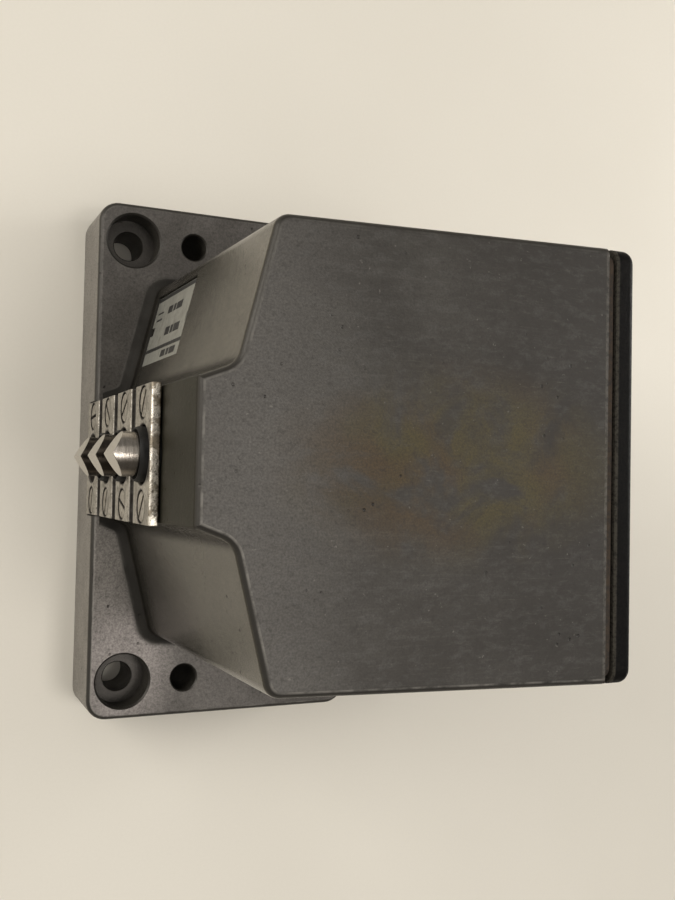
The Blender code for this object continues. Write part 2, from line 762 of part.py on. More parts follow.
def make_transfer_pin(number):
    """Pushes the switch button. Its collar sits in the plunger's bore, on the overtravel spring."""
    collar, collar_end, end = 0.0185, 0.0195, BUTTON_X - GAP
    profile = [
        (0, -collar), (0.0020, -collar), (0.0020, -collar_end), (0.0013, -collar_end),
        (0.0013, -end), (0, -end),
    ]
    pin = add_object(f"transfer_pin_{number}", turned_mesh(profile, SMALL_ROUND), ZINC)
    pin.matrix_local = at(0, 0, position_z(number)) @ TO_MINUS_X
    shade_round(pin)


def make_blanking_plug():
    profile = [
        (0, -0.0004), (0.0034, -0.0004), (0.0040, -0.0008), (0.0050, -0.0008), (0.0050, -0.0020),
        (0.0061, -0.0020), (0.0061, -0.0030), (0, -0.0030),
    ]
    plug = add_object("blanking_plug", turned_mesh(profile), RUBBER)
    plug.matrix_local = at(0, 0, position_z(BLANK_NUMBER)) @ TO_MINUS_X
    shade_round(plug)


# ---------------------------------------------------------------- switches


def make_carrier():
    margin = 0.009
    corners = rectangle(0.0315, position_z(3) - margin, position_z(1) + margin, 0.002)
    plate = along_x(prism_mesh(rounded(corners, 2), CARRIER_THICKNESS), CARRIER_X)
    carrier = add_object("switch_carrier", plate, ZINC)
    pin_hole = cylinder_mesh(0.0019, 0.02, 0.04, SMALL_ROUND)
    for number in PLUNGER_NUMBERS:
        cut(carrier, placed(pin_hole, at(0, 0, position_z(number)), TO_PLUS_X))
    screw_hole = cylinder_mesh(0.0020, 0.02, 0.04, SMALL_ROUND)
    for y, z in carrier_screw_places():
        cut(carrier, placed(screw_hole, at(0, y, z), TO_PLUS_X))


def make_switch(number):
    """A moulded case with a chamber across it, and the button with its contact bridge."""
    z = position_z(number)
    low = (CASE_X, -CASE_HALF_WIDTH, z - CASE_HALF_HEIGHT)
    block = box_mesh(low, (CASE_END, CASE_HALF_WIDTH, z + CASE_HALF_HEIGHT))
    case = add_object(f"switch_case_{number}", block, THERMOSET)
    reach = CASE_HALF_WIDTH + 0.001
    low = (CHAMBER_X[0], -reach, z - CHAMBER_HALF_HEIGHT)
    cut(case, box_mesh(low, (CHAMBER_X[1], reach, z + CHAMBER_HALF_HEIGHT)))
    cut(case, placed(cylinder_mesh(0.0019, 0.02, 0.04, SMALL_ROUND), at(0, 0, z), TO_PLUS_X))
    for side in (-1, 1):
        hole = cylinder_mesh(0.0017, CASE_END - 0.005, CASE_END + 0.001, SMALL_ROUND)
        cut(case, placed(hole, at(0, side * TERMINAL_Y, z), TO_PLUS_X))

    stem = placed(cylinder_mesh(0.0015, BUTTON_X, BRIDGE_X + 0.0026, SMALL_ROUND), TO_PLUS_X)
    button = add_object(f"switch_button_{number}", stem, BRONZE)
    button.location.z = z
    bridge = box_mesh((BRIDGE_X, -BRIDGE_HALF_WIDTH, -0.002), (BRIDGE_X + 0.001, BRIDGE_HALF_WIDTH, 0.002))
    cut(button, placed(bridge, at(0, 0, z)), operation="UNION")


# ---------------------------------------------------------------- rear and cable entry


def make_gasket():
    inset = 0.001
    corners = rectangle(REAR_HALF_WIDTH - inset, inset, BODY_HEIGHT - inset, 0.002)
    sheet = along_x(prism_mesh(rounded(corners, 2), GASKET_THICKNESS), GASKET_X)
    gasket = add_object("cover_gasket", sheet, GASKET_FIBRE)
    cut(gasket, along_x(prism_mesh(cavity_outline(0.0005), 0.02), BODY_REAR - 0.005))
    for y, z in cover_screw_places():
        hole = cylinder_mesh(0.0022, BODY_REAR - 0.01, COVER_END, SMALL_ROUND)
        cut(gasket, placed(hole, at(0, y, z), TO_PLUS_X))


def make_cover():
    corners = rectangle(REAR_HALF_WIDTH + 0.0004, 0.0004, BODY_HEIGHT - 0.0004, 0.003)
    mesh = along_x(prism_mesh(rounded(corners), COVER_THICKNESS), COVER_X)
    bm = bmesh.new()
    bm.from_mesh(mesh)
    rim = [
        e for e in bm.edges
        if all(v.co.x > COVER_END - 1e-6 for v in e.verts) and e.calc_face_angle(0) > math.radians(60)
    ]
    bmesh.ops.bevel(bm, geom=rim, offset=0.0016, segments=2, profile=0.5, affect="EDGES")
    bm.to_mesh(mesh)
    bm.free()
    cover = add_object("rear_cover", mesh, COVER_PLASTIC)
    screw_hole = turned_mesh(
        [(0, 0.001), (0.0040, 0.001), (0.0040, -0.0005), (0.0021, -0.0024), (0.0021, -0.006), (0, -0.006)],
        SMALL_ROUND,
    )
    for y, z in cover_screw_places():
        cut(cover, placed(screw_hole, at(COVER_END, y, z), TO_PLUS_X))


def make_cable_entry():
    """A screwed blanking plug with a broad slot, on a flat ring."""
    ring = turned_mesh([(0.0100, 0.0019), (0.0118, 0.0019), (0.0118, 0.0003), (0.0100, 0.0003)])
    seal = add_object("cable_entry_seal", ring, RUBBER)
    seal.matrix_local = at(ENTRY_X, ENTRY_FACE_Y, ENTRY_Z) @ TO_MINUS_Y
    shade_round(seal)
    profile = [
        (0, 0.0050), (0.0108, 0.0050), (0.0114, 0.0044), (0.0114, 0.0022), (0.0094, 0.0022),
        (0.0094, -0.0045), (0, -0.0045),
    ]
    plug = slotted(placed(turned_mesh(profile), at(0, 0, -0.0050)), 0.0022, 0.0016, 0.008)
    plug_object = add_object("cable_entry_plug", plug, COVER_PLASTIC)
    plug_object.matrix_local = at(ENTRY_X, ENTRY_FACE_Y - 0.0050, ENTRY_Z) @ TO_MINUS_Y
    shade_round(plug_object)


# ---------------------------------------------------------------- the object


def build():
    make_housing()
    make_label()
    make_guide_plate()
    make_blanking_plug()
    for number in PLUNGER_NUMBERS:
        make_plunger(number)
        make_wiper(number)
        make_bush(number)
        make_retaining_ring(number)
        make_spring(f"return_spring_{number}", number, 0.0188, 0.0306, 0.0051, 0.00045, 4.5)
        make_spring(f"overtravel_spring_{number}", number, 0.0093, 0.0182, 0.0018, 0.00025, 5.5)
        make_transfer_pin(number)
        make_switch(number)
    make_carrier()
    make_gasket()
    make_cover()
    make_cable_entry()
    make_screws()


build()
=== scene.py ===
"""Looks for the multi-position limit switch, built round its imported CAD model."""

import math

import bmesh
import bpy
from mathutils import Matrix, Vector


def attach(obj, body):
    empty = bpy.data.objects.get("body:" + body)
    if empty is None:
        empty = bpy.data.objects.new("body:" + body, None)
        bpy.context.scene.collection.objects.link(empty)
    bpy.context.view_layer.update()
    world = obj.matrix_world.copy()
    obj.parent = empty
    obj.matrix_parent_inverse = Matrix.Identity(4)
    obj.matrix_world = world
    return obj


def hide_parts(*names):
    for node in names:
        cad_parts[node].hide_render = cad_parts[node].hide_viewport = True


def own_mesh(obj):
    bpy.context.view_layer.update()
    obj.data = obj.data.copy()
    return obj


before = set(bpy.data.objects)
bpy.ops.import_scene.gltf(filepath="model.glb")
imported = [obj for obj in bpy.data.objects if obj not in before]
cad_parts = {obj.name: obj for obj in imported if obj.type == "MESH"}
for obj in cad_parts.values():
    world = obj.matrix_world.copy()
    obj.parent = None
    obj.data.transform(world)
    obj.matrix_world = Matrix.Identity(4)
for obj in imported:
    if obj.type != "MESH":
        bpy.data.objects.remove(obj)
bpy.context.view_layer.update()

# Dimensions in metres, as in the CAD model. x counts from the flange's front edge.
GAP = 0.0003
PITCH = 0.016
FIRST_Z = 0.0192
BODY_HEIGHT = 0.095
SHOULDER_HALF_WIDTH = 0.0389
REAR_HALF_WIDTH = 0.0408
BODY_REAR = 0.0805
FLANGE_LENGTH = 0.063
FLANGE_WIDTH = 0.117
FLANGE_THICKNESS = 0.0183
NOSE_HALF_WIDTH = 0.0118
NOSE_FRONT = 0.0017
NECK = Vector((0.0081, 0.0143))
SHOULDER_X = 0.0143
POCKET_BOTTOM = 0.0129
WALL = 0.0045
CAVITY_FRONT = 0.018
CAVITY_HALF_WIDTH = 0.0348
DRAFT = 0.0010
FOOT_FILLET = 0.003
EDGE_ROUND = 0.0012
POST = 0.009
PLATE_FRONT = -0.0004
PLATE_BACK = NOSE_FRONT - GAP
PLATE_HALF_WIDTH = 0.0125
PLATE_MARGIN = 0.0061
GROOVE_WIDTH = 0.004
GROOVE_DEPTH = 0.0009
PLATE_BORE = 0.0053
GUIDE_SCREW_Y = 0.0093
PLUNGER_RADIUS = 0.004
TIP_X = -0.0064
ROOF_ANGLE = math.radians(30)
PLUNGER_END = 0.025
GASKET_X = BODY_REAR + GAP
GASKET_THICKNESS = 0.0017
COVER_X = GASKET_X + GASKET_THICKNESS + GAP
COVER_THICKNESS = 0.0044
COVER_END = COVER_X + COVER_THICKNESS
FIXING_X = 0.0079
FIXING_Y = 0.050
PIN_HOLE_X = 0.022
CARRIER_X = 0.031
CARRIER_SCREW_Y = 0.027
CARRIER_SCREW_Z = 0.0432
EARTH_X = 0.068
EARTH_Y = 0.015
ENTRY_X = 0.066
ENTRY_Z = 0.045
ENTRY_FACE_Y = -0.0402
LABEL_WIDTH = 0.016
LABEL_HEIGHT = 0.0295
LABEL_FROM_CORNER = 0.0114
LABEL_Z = 0.038
LABEL_RECESS = 0.001

FRONT_EDGE_X = -(TIP_X + COVER_END) / 2
TO_MINUS_X = Matrix.Rotation(-math.pi / 2, 4, "Y")
TO_PLUS_X = Matrix.Rotation(math.pi / 2, 4, "Y")
TO_MINUS_Y = Matrix.Rotation(math.pi / 2, 4, "X")
PLUNGER_NUMBERS = (1, 2, 3)


def position_z(number):
    return FIRST_Z + (4 - number) * PITCH


def at(x, y, z):
    return Matrix.Translation((x, y, z))


# ---------------------------------------------------------------- shapes


def mesh_from(build):
    bm = bmesh.new()
    build(bm)
    mesh = bpy.data.meshes.new("mesh")
    bm.to_mesh(mesh)
    bm.free()
    return mesh


def scratch(mesh):
    obj = bpy.data.objects.new("scratch", mesh)
    bpy.context.scene.collection.objects.link(obj)
    return obj


def baked_mesh(obj):
    """The evaluated mesh of a scratch object, which is then removed."""
    bpy.context.view_layer.update()
    mesh = bpy.data.meshes.new_from_object(obj.evaluated_get(bpy.context.evaluated_depsgraph_get()))
    bm = bmesh.new()
    bm.from_mesh(mesh)
    bmesh.ops.remove_doubles(bm, verts=bm.verts, dist=1e-6)
    bm.to_mesh(mesh)
    bm.free()
    bpy.data.objects.remove(obj)
    return mesh


def rounded(corners, steps=8):
    """Points of a closed outline. A corner is (point, radius), and a radius of 0 stays sharp."""
    points = []
    for index, (corner, radius) in enumerate(corners):
        before = Vector(corners[index - 1][0]) - Vector(corner)
        after = Vector(corners[(index + 1) % len(corners)][0]) - Vector(corner)
        if not radius:
            points.append(Vector(corner))
            continue
        half_angle = before.angle(after) / 2
        to_centre = (before.normalized() + after.normalized()).normalized()
        centre = Vector(corner) + to_centre * (radius / math.sin(half_angle))
        start = Vector(corner) + before.normalized() * (radius / math.tan(half_angle)) - centre
        end = Vector(corner) + after.normalized() * (radius / math.tan(half_angle)) - centre
        turn = start.angle_signed(end)
        for step in range(steps + 1):
            points.append(centre + Matrix.Rotation(-turn * step / steps, 2) @ start)
    return points


def stacked_mesh(rings):
    """A closed solid through rings of the same number of points. A ring is (outline, height)."""

    def build(bm):
        rows = [[bm.verts.new((x, y, height)) for x, y in outline] for outline, height in rings]
        for lower, upper in zip(rows, rows[1:]):
            for index in range(len(lower)):
                bm.faces.new((lower[index - 1], lower[index], upper[index], upper[index - 1]))
        bm.faces.new(rows[0][::-1])
        bm.faces.new(rows[-1])

    return mesh_from(build)


def prism_mesh(outline, thickness, edge=0.0, steps=3):
    """An outline extruded to its thickness, with both its rims rounded by `edge`."""
    rings = [(outline, 0), (outline, thickness)]
    if edge:
        turns = [step / steps * math.pi / 2 for step in range(steps + 1)]
        low = [(spread(outline, -edge * (1 - math.sin(a))), edge * (1 - math.cos(a))) for a in turns]
        high = [(ring, thickness - height) for ring, height in reversed(low)]
        rings = low + high
    return stacked_mesh(rings)


def spread(outline, distance):
    """A counter-clockwise outline moved outwards by a distance."""
    moved = []
    for index, point in enumerate(outline):
        before = (point - outline[index - 1]).normalized()
        after = (outline[(index + 1) % len(outline)] - point).normalized()
        normal = Vector((before.y + after.y, -before.x - after.x)).normalized()
        moved.append(point + normal * distance / normal.dot(Vector((after.y, -after.x))))
    return moved


def box_mesh(low, high):
    size = Vector(high) - Vector(low)
    place = Matrix.Translation((Vector(high) + Vector(low)) / 2) @ Matrix.Diagonal((*size, 1))
    return mesh_from(lambda bm: bmesh.ops.create_cube(bm, size=1, matrix=place))


def turned_mesh(profile, sides=48):
    """A turned solid about Z. The profile is (radius, z), down the outer side."""

    def build(bm):
        points = [bm.verts.new((radius, 0, height)) for radius, height in profile]
        for first, second in zip(points, points[1:]):
            bm.edges.new((first, second))
        if profile[0][0] > 0:
            bm.edges.new((points[-1], points[0]))

    obj = scratch(mesh_from(build))
    screw = obj.modifiers.new("turn", "SCREW")
    screw.steps = sides
    screw.render_steps = sides
    screw.use_merge_vertices = True
    screw.merge_threshold = 1e-5
    return baked_mesh(obj)


def softened(profile, radius, steps=3):
    """A turned profile whose inner corners are rounded by up to a radius."""
    points = [Vector(point) for point in profile]
    result = [points[0]]
    for before, corner, after in zip(points, points[1:], points[2:]):
        reach = min(radius, (before - corner).length * 0.45, (after - corner).length * 0.45)
        start = corner + (before - corner).normalized() * reach
        end = corner + (after - corner).normalized() * reach
        for step in range(steps + 1):
            share = step / steps
            result.append(start * (1 - share) ** 2 + corner * 2 * share * (1 - share) + end * share**2)
    result.append(points[-1])
    return [tuple(point) for point in result]


def placed(mesh, *matrices):
    copy = mesh.copy()
    whole = Matrix.Identity(4)
    for matrix in matrices:
        whole = whole @ matrix
    copy.transform(whole)
    return copy


def combined(mesh, *tools, operation="DIFFERENCE"):
    """The mesh with each tool cut from it or joined to it."""
    obj = scratch(mesh)
    others = [scratch(tool) for tool in tools]
    for other in others:
        modifier = obj.modifiers.new("cut", "BOOLEAN")
        modifier.operation = operation
        modifier.object = other
    result = baked_mesh(obj)
    for other in others:
        bpy.data.objects.remove(other)
    return result


def bevelled(mesh, width, segments=2, degrees=35):
    obj = scratch(mesh)
    bevel = obj.modifiers.new("bevel", "BEVEL")
    bevel.width = width
    bevel.segments = segments
    bevel.limit_method = "ANGLE"
    bevel.angle_limit = math.radians(degrees)
    return baked_mesh(obj)


def along_x(mesh, x):
    """A prism drawn in Y and Z, which starts at x and runs to the rear."""
    turn = Matrix(((0, 0, 1, 0), (1, 0, 0, 0), (0, 1, 0, 0), (0, 0, 0, 1)))
    return placed(mesh, at(x, 0, 0), turn)


def piece(name, mesh, material, body="base", node=None, degrees=32):
    """A shown piece, in the row frame, which rides on a body and may stand for a CAD node."""
    mesh.transform(at(FRONT_EDGE_X, 0, 0))
    mesh.materials.clear()
    for one in material if isinstance(material, (list, tuple)) else [material]:
        mesh.materials.append(one)
    for polygon in mesh.polygons:
        polygon.use_smooth = True
    mesh.set_sharp_from_angle(angle=math.radians(degrees))
    obj = bpy.data.objects.new(name, mesh)
    bpy.context.scene.collection.objects.link(obj)
    normals = obj.modifiers.new("normals", "WEIGHTED_NORMAL")
    normals.keep_sharp = True
    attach(obj, body)
    if node:
        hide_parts(node)
    return obj


# ---------------------------------------------------------------- materials


class Graph:
    """A material's nodes, with short ways to add the usual ones."""

    def __init__(self, name, roughness=0.5, metallic=0.0):
        self.material = bpy.data.materials.new(name)
        self.material.use_nodes = True
        self.tree = self.material.node_tree
        self.shader = self.tree.nodes["Principled BSDF"]
        self.shader.inputs["Roughness"].default_value = roughness
        self.shader.inputs["Metallic"].default_value = metallic
        self.place = self.add("TexCoord").outputs["Object"]
        self.normal = None

    def add(self, kind, inputs=None, **settings):
        node = self.tree.nodes.new("ShaderNode" + kind)
        for key, value in settings.items():
            setattr(node, key, value)
        for key, value in (inputs or {}).items():
            if isinstance(value, bpy.types.NodeSocket):
                self.tree.links.new(value, node.inputs[key])
            else:
                node.inputs[key].default_value = value
        return node

    def stretched(self, scale, turn=(0, 0, 0)):
        mapping = self.add("Mapping", {"Vector": self.place, "Scale": scale, "Rotation": turn})
        return mapping.outputs["Vector"]

    def noise(self, scale, detail=4.0, roughness=0.55, distortion=0.0, vector=None):
        node = self.add(
            "TexNoise",
            {
                "Vector": vector or self.place,
                "Scale": scale,
                "Detail": detail,
                "Roughness": roughness,
                "Distortion": distortion,
            },
        )
        return node.outputs["Fac"]

    def cells(self, scale, randomness=1.0):
        node = self.add("TexVoronoi", {"Vector": self.place, "Scale": scale, "Randomness": randomness})
        return node.outputs["Distance"]

    def ramp(self, value, low, high, start=0.0, end=1.0):
        """Maps low..high of the value to start..end, and holds it outside."""
        node = self.add(
            "MapRange",
            {"Value": value, "From Min": low, "From Max": high, "To Min": start, "To Max": end},
            interpolation_type="SMOOTHSTEP",
        )
        return node.outputs["Result"]

    def math(self, operation, first, second=0.0):
        return self.add("Math", {0: first, 1: second}, operation=operation).outputs[0]

    def product(self, first, *others):
        for other in others:
            first = self.math("MULTIPLY", first, other)
        return first

    def length(self, first, second):
        squares = [self.product(side, side) for side in (first, second)]
        return self.math("SQRT", self.math("ADD", *squares))

    def mix(self, share, first, second):
        node = self.add("Mix", data_type="RGBA")
        sockets = {0: share, 6: first, 7: second}
        for index, value in sockets.items():
            if isinstance(value, bpy.types.NodeSocket):
                self.tree.links.new(value, node.inputs[index])
            elif index == 0:
                node.inputs[index].default_value = value
            else:
                node.inputs[index].default_value = (*value, 1)
        return node.outputs[2]

    def position(self):
        node = self.add("SeparateXYZ", {0: self.place})
        return node.outputs[0], node.outputs[1], node.outputs[2]

    def facing(self, axis=2):
        """How far the surface faces along an axis, upwards if none is given."""
        return self.add("SeparateXYZ", {0: self.add("NewGeometry").outputs["Normal"]}).outputs[axis]

    def spot(self, centre, size, sharpness=0.35):
        """1 inside an ellipsoid round a centre in the row frame, 0 outside it."""
        offset = self.add("VectorMath", {0: self.place, 1: centre}, operation="SUBTRACT").outputs[0]
        scaled = self.add("VectorMath", {0: offset, 1: size}, operation="DIVIDE").outputs[0]
        length = self.add("VectorMath", {0: scaled}, operation="LENGTH").outputs["Value"]
        return self.ramp(length, 1 + sharpness, 1 - sharpness)

    def bump(self, height, distance, strength=1.0):
        inputs = {"Height": height, "Distance": distance, "Strength": strength}
        if self.normal:
            inputs["Normal"] = self.normal
        self.normal = self.add("Bump", inputs).outputs["Normal"]

    def finish(self, colour, roughness, metallic=None):
        wires = {"Base Color": colour, "Roughness": roughness, "Metallic": metallic, "Normal": self.normal}
        for name, socket in wires.items():
            if isinstance(socket, bpy.types.NodeSocket):
                self.tree.links.new(socket, self.shader.inputs[name])
        return self.material


def casting_regions(g):
    """The parts of the casting that look different. Each is 1 inside and 0 outside."""
    x, y, z = g.position()
    nz = g.facing()
    steep = g.ramp(g.math("ABSOLUTE", nz), 0.55, 0.25)
    upper = g.product(g.ramp(z, 0.092, 0.0945), g.ramp(nz, 0.8, 0.97))
    above_flange = g.product(steep, g.ramp(z, 0.0186, 0.0200))
    low = g.ramp(z, 0.0195, 0.0184)
    flange_face = g.product(g.ramp(nz, 0.9, 0.98), low)
    rims = g.math("MAXIMUM", g.ramp(z, 0.0925, 0.0935), g.product(g.ramp(z, 0.0166, 0.0172), low))
    front = FRONT_EDGE_X + NOSE_FRONT
    nose_side = g.ramp(g.math("ABSOLUTE", y), NOSE_HALF_WIDTH + 0.0014, NOSE_HALF_WIDTH + 0.0004)
    bores = None
    for place_x, radius in ((FIXING_X, 0.0068), (PIN_HOLE_X, 0.0036)):
        for side in (-1, 1):
            centre = (FRONT_EDGE_X + place_x, side * FIXING_Y, 0.009)
            bore = g.spot(centre, (radius, radius, 0.2), 0.02)
            bores = g.math("MAXIMUM", bores, bore) if bores else bore
    flange_end = FRONT_EDGE_X + FLANGE_LENGTH
    foot = g.product(g.ramp(z, 0.0255, 0.0205), g.ramp(z, 0.0182, 0.0185))
    rear_end = FRONT_EDGE_X + BODY_REAR
    return {
        "steep": steep,
        "top": upper,
        "flange_face": flange_face,
        # Painted sheen: a pale patch on the flange by the lower fixing hole.
        "painted_sheen_by_fixing_hole": g.product(
            g.spot((-0.0330, -0.0455, 0.018), (0.0095, 0.016, 0.004), 0.6), flange_face
        ),
        # Painted sheen: a pale patch on the flange below the guide plate.
        "painted_sheen_by_guide_plate": g.product(
            g.spot((-0.0365, -0.020, 0.018), (0.0070, 0.0135, 0.004), 0.6), flange_face
        ),
        "front_edge": g.product(g.ramp(x, FRONT_EDGE_X + 0.0006, FRONT_EDGE_X + 0.0002), steep),
        "shoulder": above_flange,
        # Painted shade: the walls on the −Y side are darker.
        "painted_shade_south_side": g.product(g.ramp(y, -0.006, -0.014), above_flange),
        # The nose's front face above the plate is darkened, partly grime and partly painted shade.
        "nose_face": g.product(
            g.ramp(x, front + 0.0007, front + 0.0002), steep, g.ramp(z, 0.0125, 0.0135), nose_side
        ),
        # Painted sheen: the front of the top, towards the nose, is lighter.
        "painted_sheen_nose_end": g.product(g.ramp(x, -0.004, -0.034), upper),
        # Painted shade: the rear of the top is darker.
        "painted_shade_rear_top": g.product(g.ramp(x, 0.002, 0.034), upper),
        "stained": g.product(g.spot((0.009, -0.001, 0.095), (0.027, 0.0135, 0.006), 0.5), upper),
        # Pale line along the rear edge of the top: partly edge wear, partly painted highlight.
        "rear_line": g.product(g.ramp(x, rear_end - 0.00075, rear_end - 0.0005), upper),
        "dark_rim": g.product(g.ramp(nz, 0.08, 0.35), g.ramp(nz, 0.97, 0.80), rims),
        # Pale band on the rounded rims, stronger towards −Y: partly edge wear, partly painted highlight.
        "bright_rim": g.product(
            g.ramp(nz, 0.86, 0.95), g.ramp(nz, 0.997, 0.975), g.ramp(y, 0.036, -0.012, 0.25, 1.0), rims
        ),
        # Grime and painted shade: the fillet at the foot of the walls is darkened.
        "foot": g.product(foot, g.ramp(x, flange_end, flange_end - 0.006)),
        # Grime and painted shade: the insides of the bores are darkened.
        "bores": g.product(bores, g.ramp(z, FLANGE_THICKNESS - 0.0001, FLANGE_THICKNESS - 0.0005)),
    }


def casting_material():
    """Aged grey die casting: brushed and mottled, stained on top, with pits, and paler along its rims,
    partly from wear and partly as painted highlight. Painted sheen and painted shade lie on parts of the
    top, walls, flange, fillet and bores.
    """
    g = Graph("aged_casting", metallic=0.5)
    where = casting_regions(g)
    top = where["top"]
    cloud = g.noise(38, 5, 0.6, 0.4)
    patch = g.noise(120, 6, 0.65, 0.8)
    grain = g.noise(2600, 3, 0.6)
    coarse = g.noise(1050, 4, 0.7)
    streaks = g.noise(1, 6, 0.62, 0.25, g.stretched((55, 900, 240)))
    mottle = g.noise(1, 6, 0.72, 0.3, g.stretched((260, 520, 400), (0, 0, -0.1)))
    scratches = g.noise(1, 5, 0.7, 0.3, g.stretched((210, 2300, 600), (0, 0, 0.16)))
    stain = g.product(where["stained"], g.ramp(g.noise(75, 5, 0.6, 0.6), 0.36, 0.56), 0.85)
    stain_tone = g.mix(g.ramp(g.noise(48, 2), 0.42, 0.58), (0.090, 0.074, 0.032), (0.088, 0.060, 0.031))
    pits = g.product(g.ramp(g.cells(430), 0.16, 0.08), g.ramp(g.noise(85, 3), 0.54, 0.64))
    patchy = g.ramp(patch, 0.35, 0.7)
    as_cast = g.mix(patchy, (0.200, 0.186, 0.155), (0.155, 0.144, 0.120))
    edge = g.mix(patchy, (0.30, 0.278, 0.25), (0.23, 0.212, 0.19))
    flange = g.mix(g.ramp(cloud, 0.35, 0.65), (0.150, 0.139, 0.128), (0.100, 0.092, 0.083))
    wear = g.ramp(patch, 0.3, 0.6, 0.65, 0.95)
    bore_grime_and_shade = g.ramp(patch, 0.3, 0.7, 0.65, 0.9)
    dust = g.ramp(g.noise(170, 4), 0.3, 0.7, 0.80, 1.0)
    # Grime and painted shade in the foot fillet, broken up by the noise named dust.
    foot_grime_and_shade = g.product(where["foot"], dust)
    # Breaks up the rims' pale band, which is partly edge wear and partly painted highlight.
    rim_wear_and_highlight = g.ramp(g.noise(260, 5, 0.6), 0.35, 0.65, 0.0, 0.8)
    freckles = g.ramp(g.noise(1100, 2, 0.5), 0.71, 0.78, 0, 0.5)

    colour = g.mix(g.ramp(cloud, 0.35, 0.68), (0.061, 0.057, 0.050), (0.043, 0.039, 0.034))
    layers = (
        (g.ramp(patch, 0.40, 0.75, 0, 0.5), (0.038, 0.035, 0.031)),
        (where["flange_face"], flange),
        # Painted sheen: pale patch on the flange by the lower fixing hole.
        (g.product(where["painted_sheen_by_fixing_hole"], 0.85), (0.42, 0.385, 0.365)),
        # Painted sheen: pale patch on the flange below the guide plate, broken up by the noise named wear.
        (g.product(where["painted_sheen_by_guide_plate"], wear), (0.37, 0.345, 0.315)),
        (where["steep"], as_cast),
        (where["front_edge"], edge),
        # Painted shade: darker walls on the −Y side.
        (g.product(where["painted_shade_south_side"], 0.55), (0.090, 0.083, 0.066)),
        # Darker nose front face: partly grime, partly painted shade.
        (g.product(where["nose_face"], 0.95), (0.034, 0.032, 0.021)),
        (g.product(g.ramp(streaks, 0.52, 0.74, 0, 0.4), top), (0.090, 0.085, 0.078)),
        # Painted sheen: lighter front of the top, towards the nose.
        (g.product(where["painted_sheen_nose_end"], 0.85), (0.112, 0.106, 0.098)),
        # Painted shade: darker rear of the top.
        (g.product(where["painted_shade_rear_top"], 0.6), (0.030, 0.027, 0.024)),
        (g.product(g.ramp(mottle, 0.46, 0.66, 0, 0.34), top), (0.100, 0.097, 0.092)),
        (stain, stain_tone),
        (g.product(g.ramp(scratches, 0.56, 0.72, 0, 0.34), top), (0.125, 0.115, 0.100)),
        (g.ramp(grain, 0.34, 0.66, 0, 0.42), (0.034, 0.032, 0.029)),
        (g.ramp(coarse, 0.50, 0.70, 0, 0.40), (0.028, 0.026, 0.023)),
        (freckles, (0.17, 0.16, 0.145)),
        (g.product(pits, 0.8), (0.022, 0.020, 0.018)),
        (g.product(where["dark_rim"], 0.75), (0.036, 0.033, 0.028)),
        # Partly edge wear, partly painted highlight along the rims.
        (g.product(where["bright_rim"], rim_wear_and_highlight), (0.21, 0.20, 0.18)),
        # Grime and painted shade: darker foot fillet.
        (foot_grime_and_shade, (0.018, 0.016, 0.013)),
        # Grime and painted shade: darker bore insides.
        (g.product(where["bores"], bore_grime_and_shade), (0.024, 0.021, 0.017)),
        # Partly edge wear, partly painted highlight along the top's rear edge.
        (g.product(where["rear_line"], g.ramp(coarse, 0.35, 0.65, 0.0, 0.5)), (0.15, 0.14, 0.12)),
    )
    for share, tone in layers:
        colour = g.mix(share, colour, tone)

    roughness = g.ramp(cloud, 0.3, 0.7, 0.38, 0.44)
    changes = (
        (where["shoulder"], -0.22), (top, 0.08), (where["nose_face"], 0.35), (foot_grime_and_shade, 0.35),
        (grain, 0.10), (stain, 0.12),
    )
    for share, change in changes:
        roughness = g.math("ADD", roughness, g.product(share, change))
    g.bump(g.noise(60, 3), 0.0006, 0.25)
    g.bump(g.noise(700, 5, 0.6), 0.00012, 0.35)
    g.bump(grain, 0.00006, 0.6)
    g.bump(g.product(streaks, top), 0.00010, 0.35)
    g.bump(g.product(pits, -1.0), 0.00025, 0.8)
    return g.finish(colour, roughness, g.ramp(where["shoulder"], 0.0, 1.0, 0.5, 0.95))


def cover_material():
    """Black moulded plastic with a fine grain and a little grey dust in it, and a painted highlight along
    the front of its upper rim.
    """
    g = Graph("black_grained_plastic", metallic=0.0)
    g.shader.inputs["Specular IOR Level"].default_value = 0.07
    grain = g.noise(1700, 4, 0.65)
    dust = g.ramp(g.noise(420, 5, 0.7), 0.48, 0.75, 0, 0.4)
    colour = g.mix(g.ramp(grain, 0.35, 0.7), (0.002, 0.002, 0.002), (0.006, 0.0055, 0.005))
    colour = g.mix(dust, colour, (0.011, 0.0095, 0.0075))
    x, _, z = g.position()
    front = FRONT_EDGE_X + COVER_X
    # Painted highlight: a paler line along the front of the cover's upper rim.
    upper_lip = g.product(g.ramp(x, front + 0.0007, front + 0.0003), g.ramp(z, 0.090, 0.094))
    colour = g.mix(g.product(upper_lip, g.ramp(grain, 0.3, 0.6, 0.15, 0.7)), colour, (0.070, 0.064, 0.052))
    g.bump(grain, 0.00012, 0.6)
    g.bump(g.noise(160, 3), 0.0004, 0.2)
    return g.finish(colour, g.ramp(grain, 0.3, 0.7, 0.38, 0.6))


def rubber_material():
    g = Graph("black_rubber", metallic=0.0)
    g.shader.inputs["Specular IOR Level"].default_value = 0.25
    bloom = g.noise(500, 4, 0.6)
    colour = g.mix(g.ramp(bloom, 0.4, 0.7), (0.007, 0.007, 0.007), (0.020, 0.019, 0.018))
    g.bump(g.noise(2500, 3), 0.00004, 0.5)
    return g.finish(colour, g.ramp(bloom, 0.3, 0.7, 0.42, 0.7))


def gasket_material():
    g = Graph("gasket_sheet", metallic=0.0)
    fibre = g.noise(900, 5, 0.7)
    colour = g.mix(g.ramp(fibre, 0.35, 0.65), (0.020, 0.015, 0.011), (0.060, 0.042, 0.028))
    g.bump(fibre, 0.00015, 0.7)
    return g.finish(colour, g.ramp(fibre, 0.3, 0.7, 0.65, 0.9))


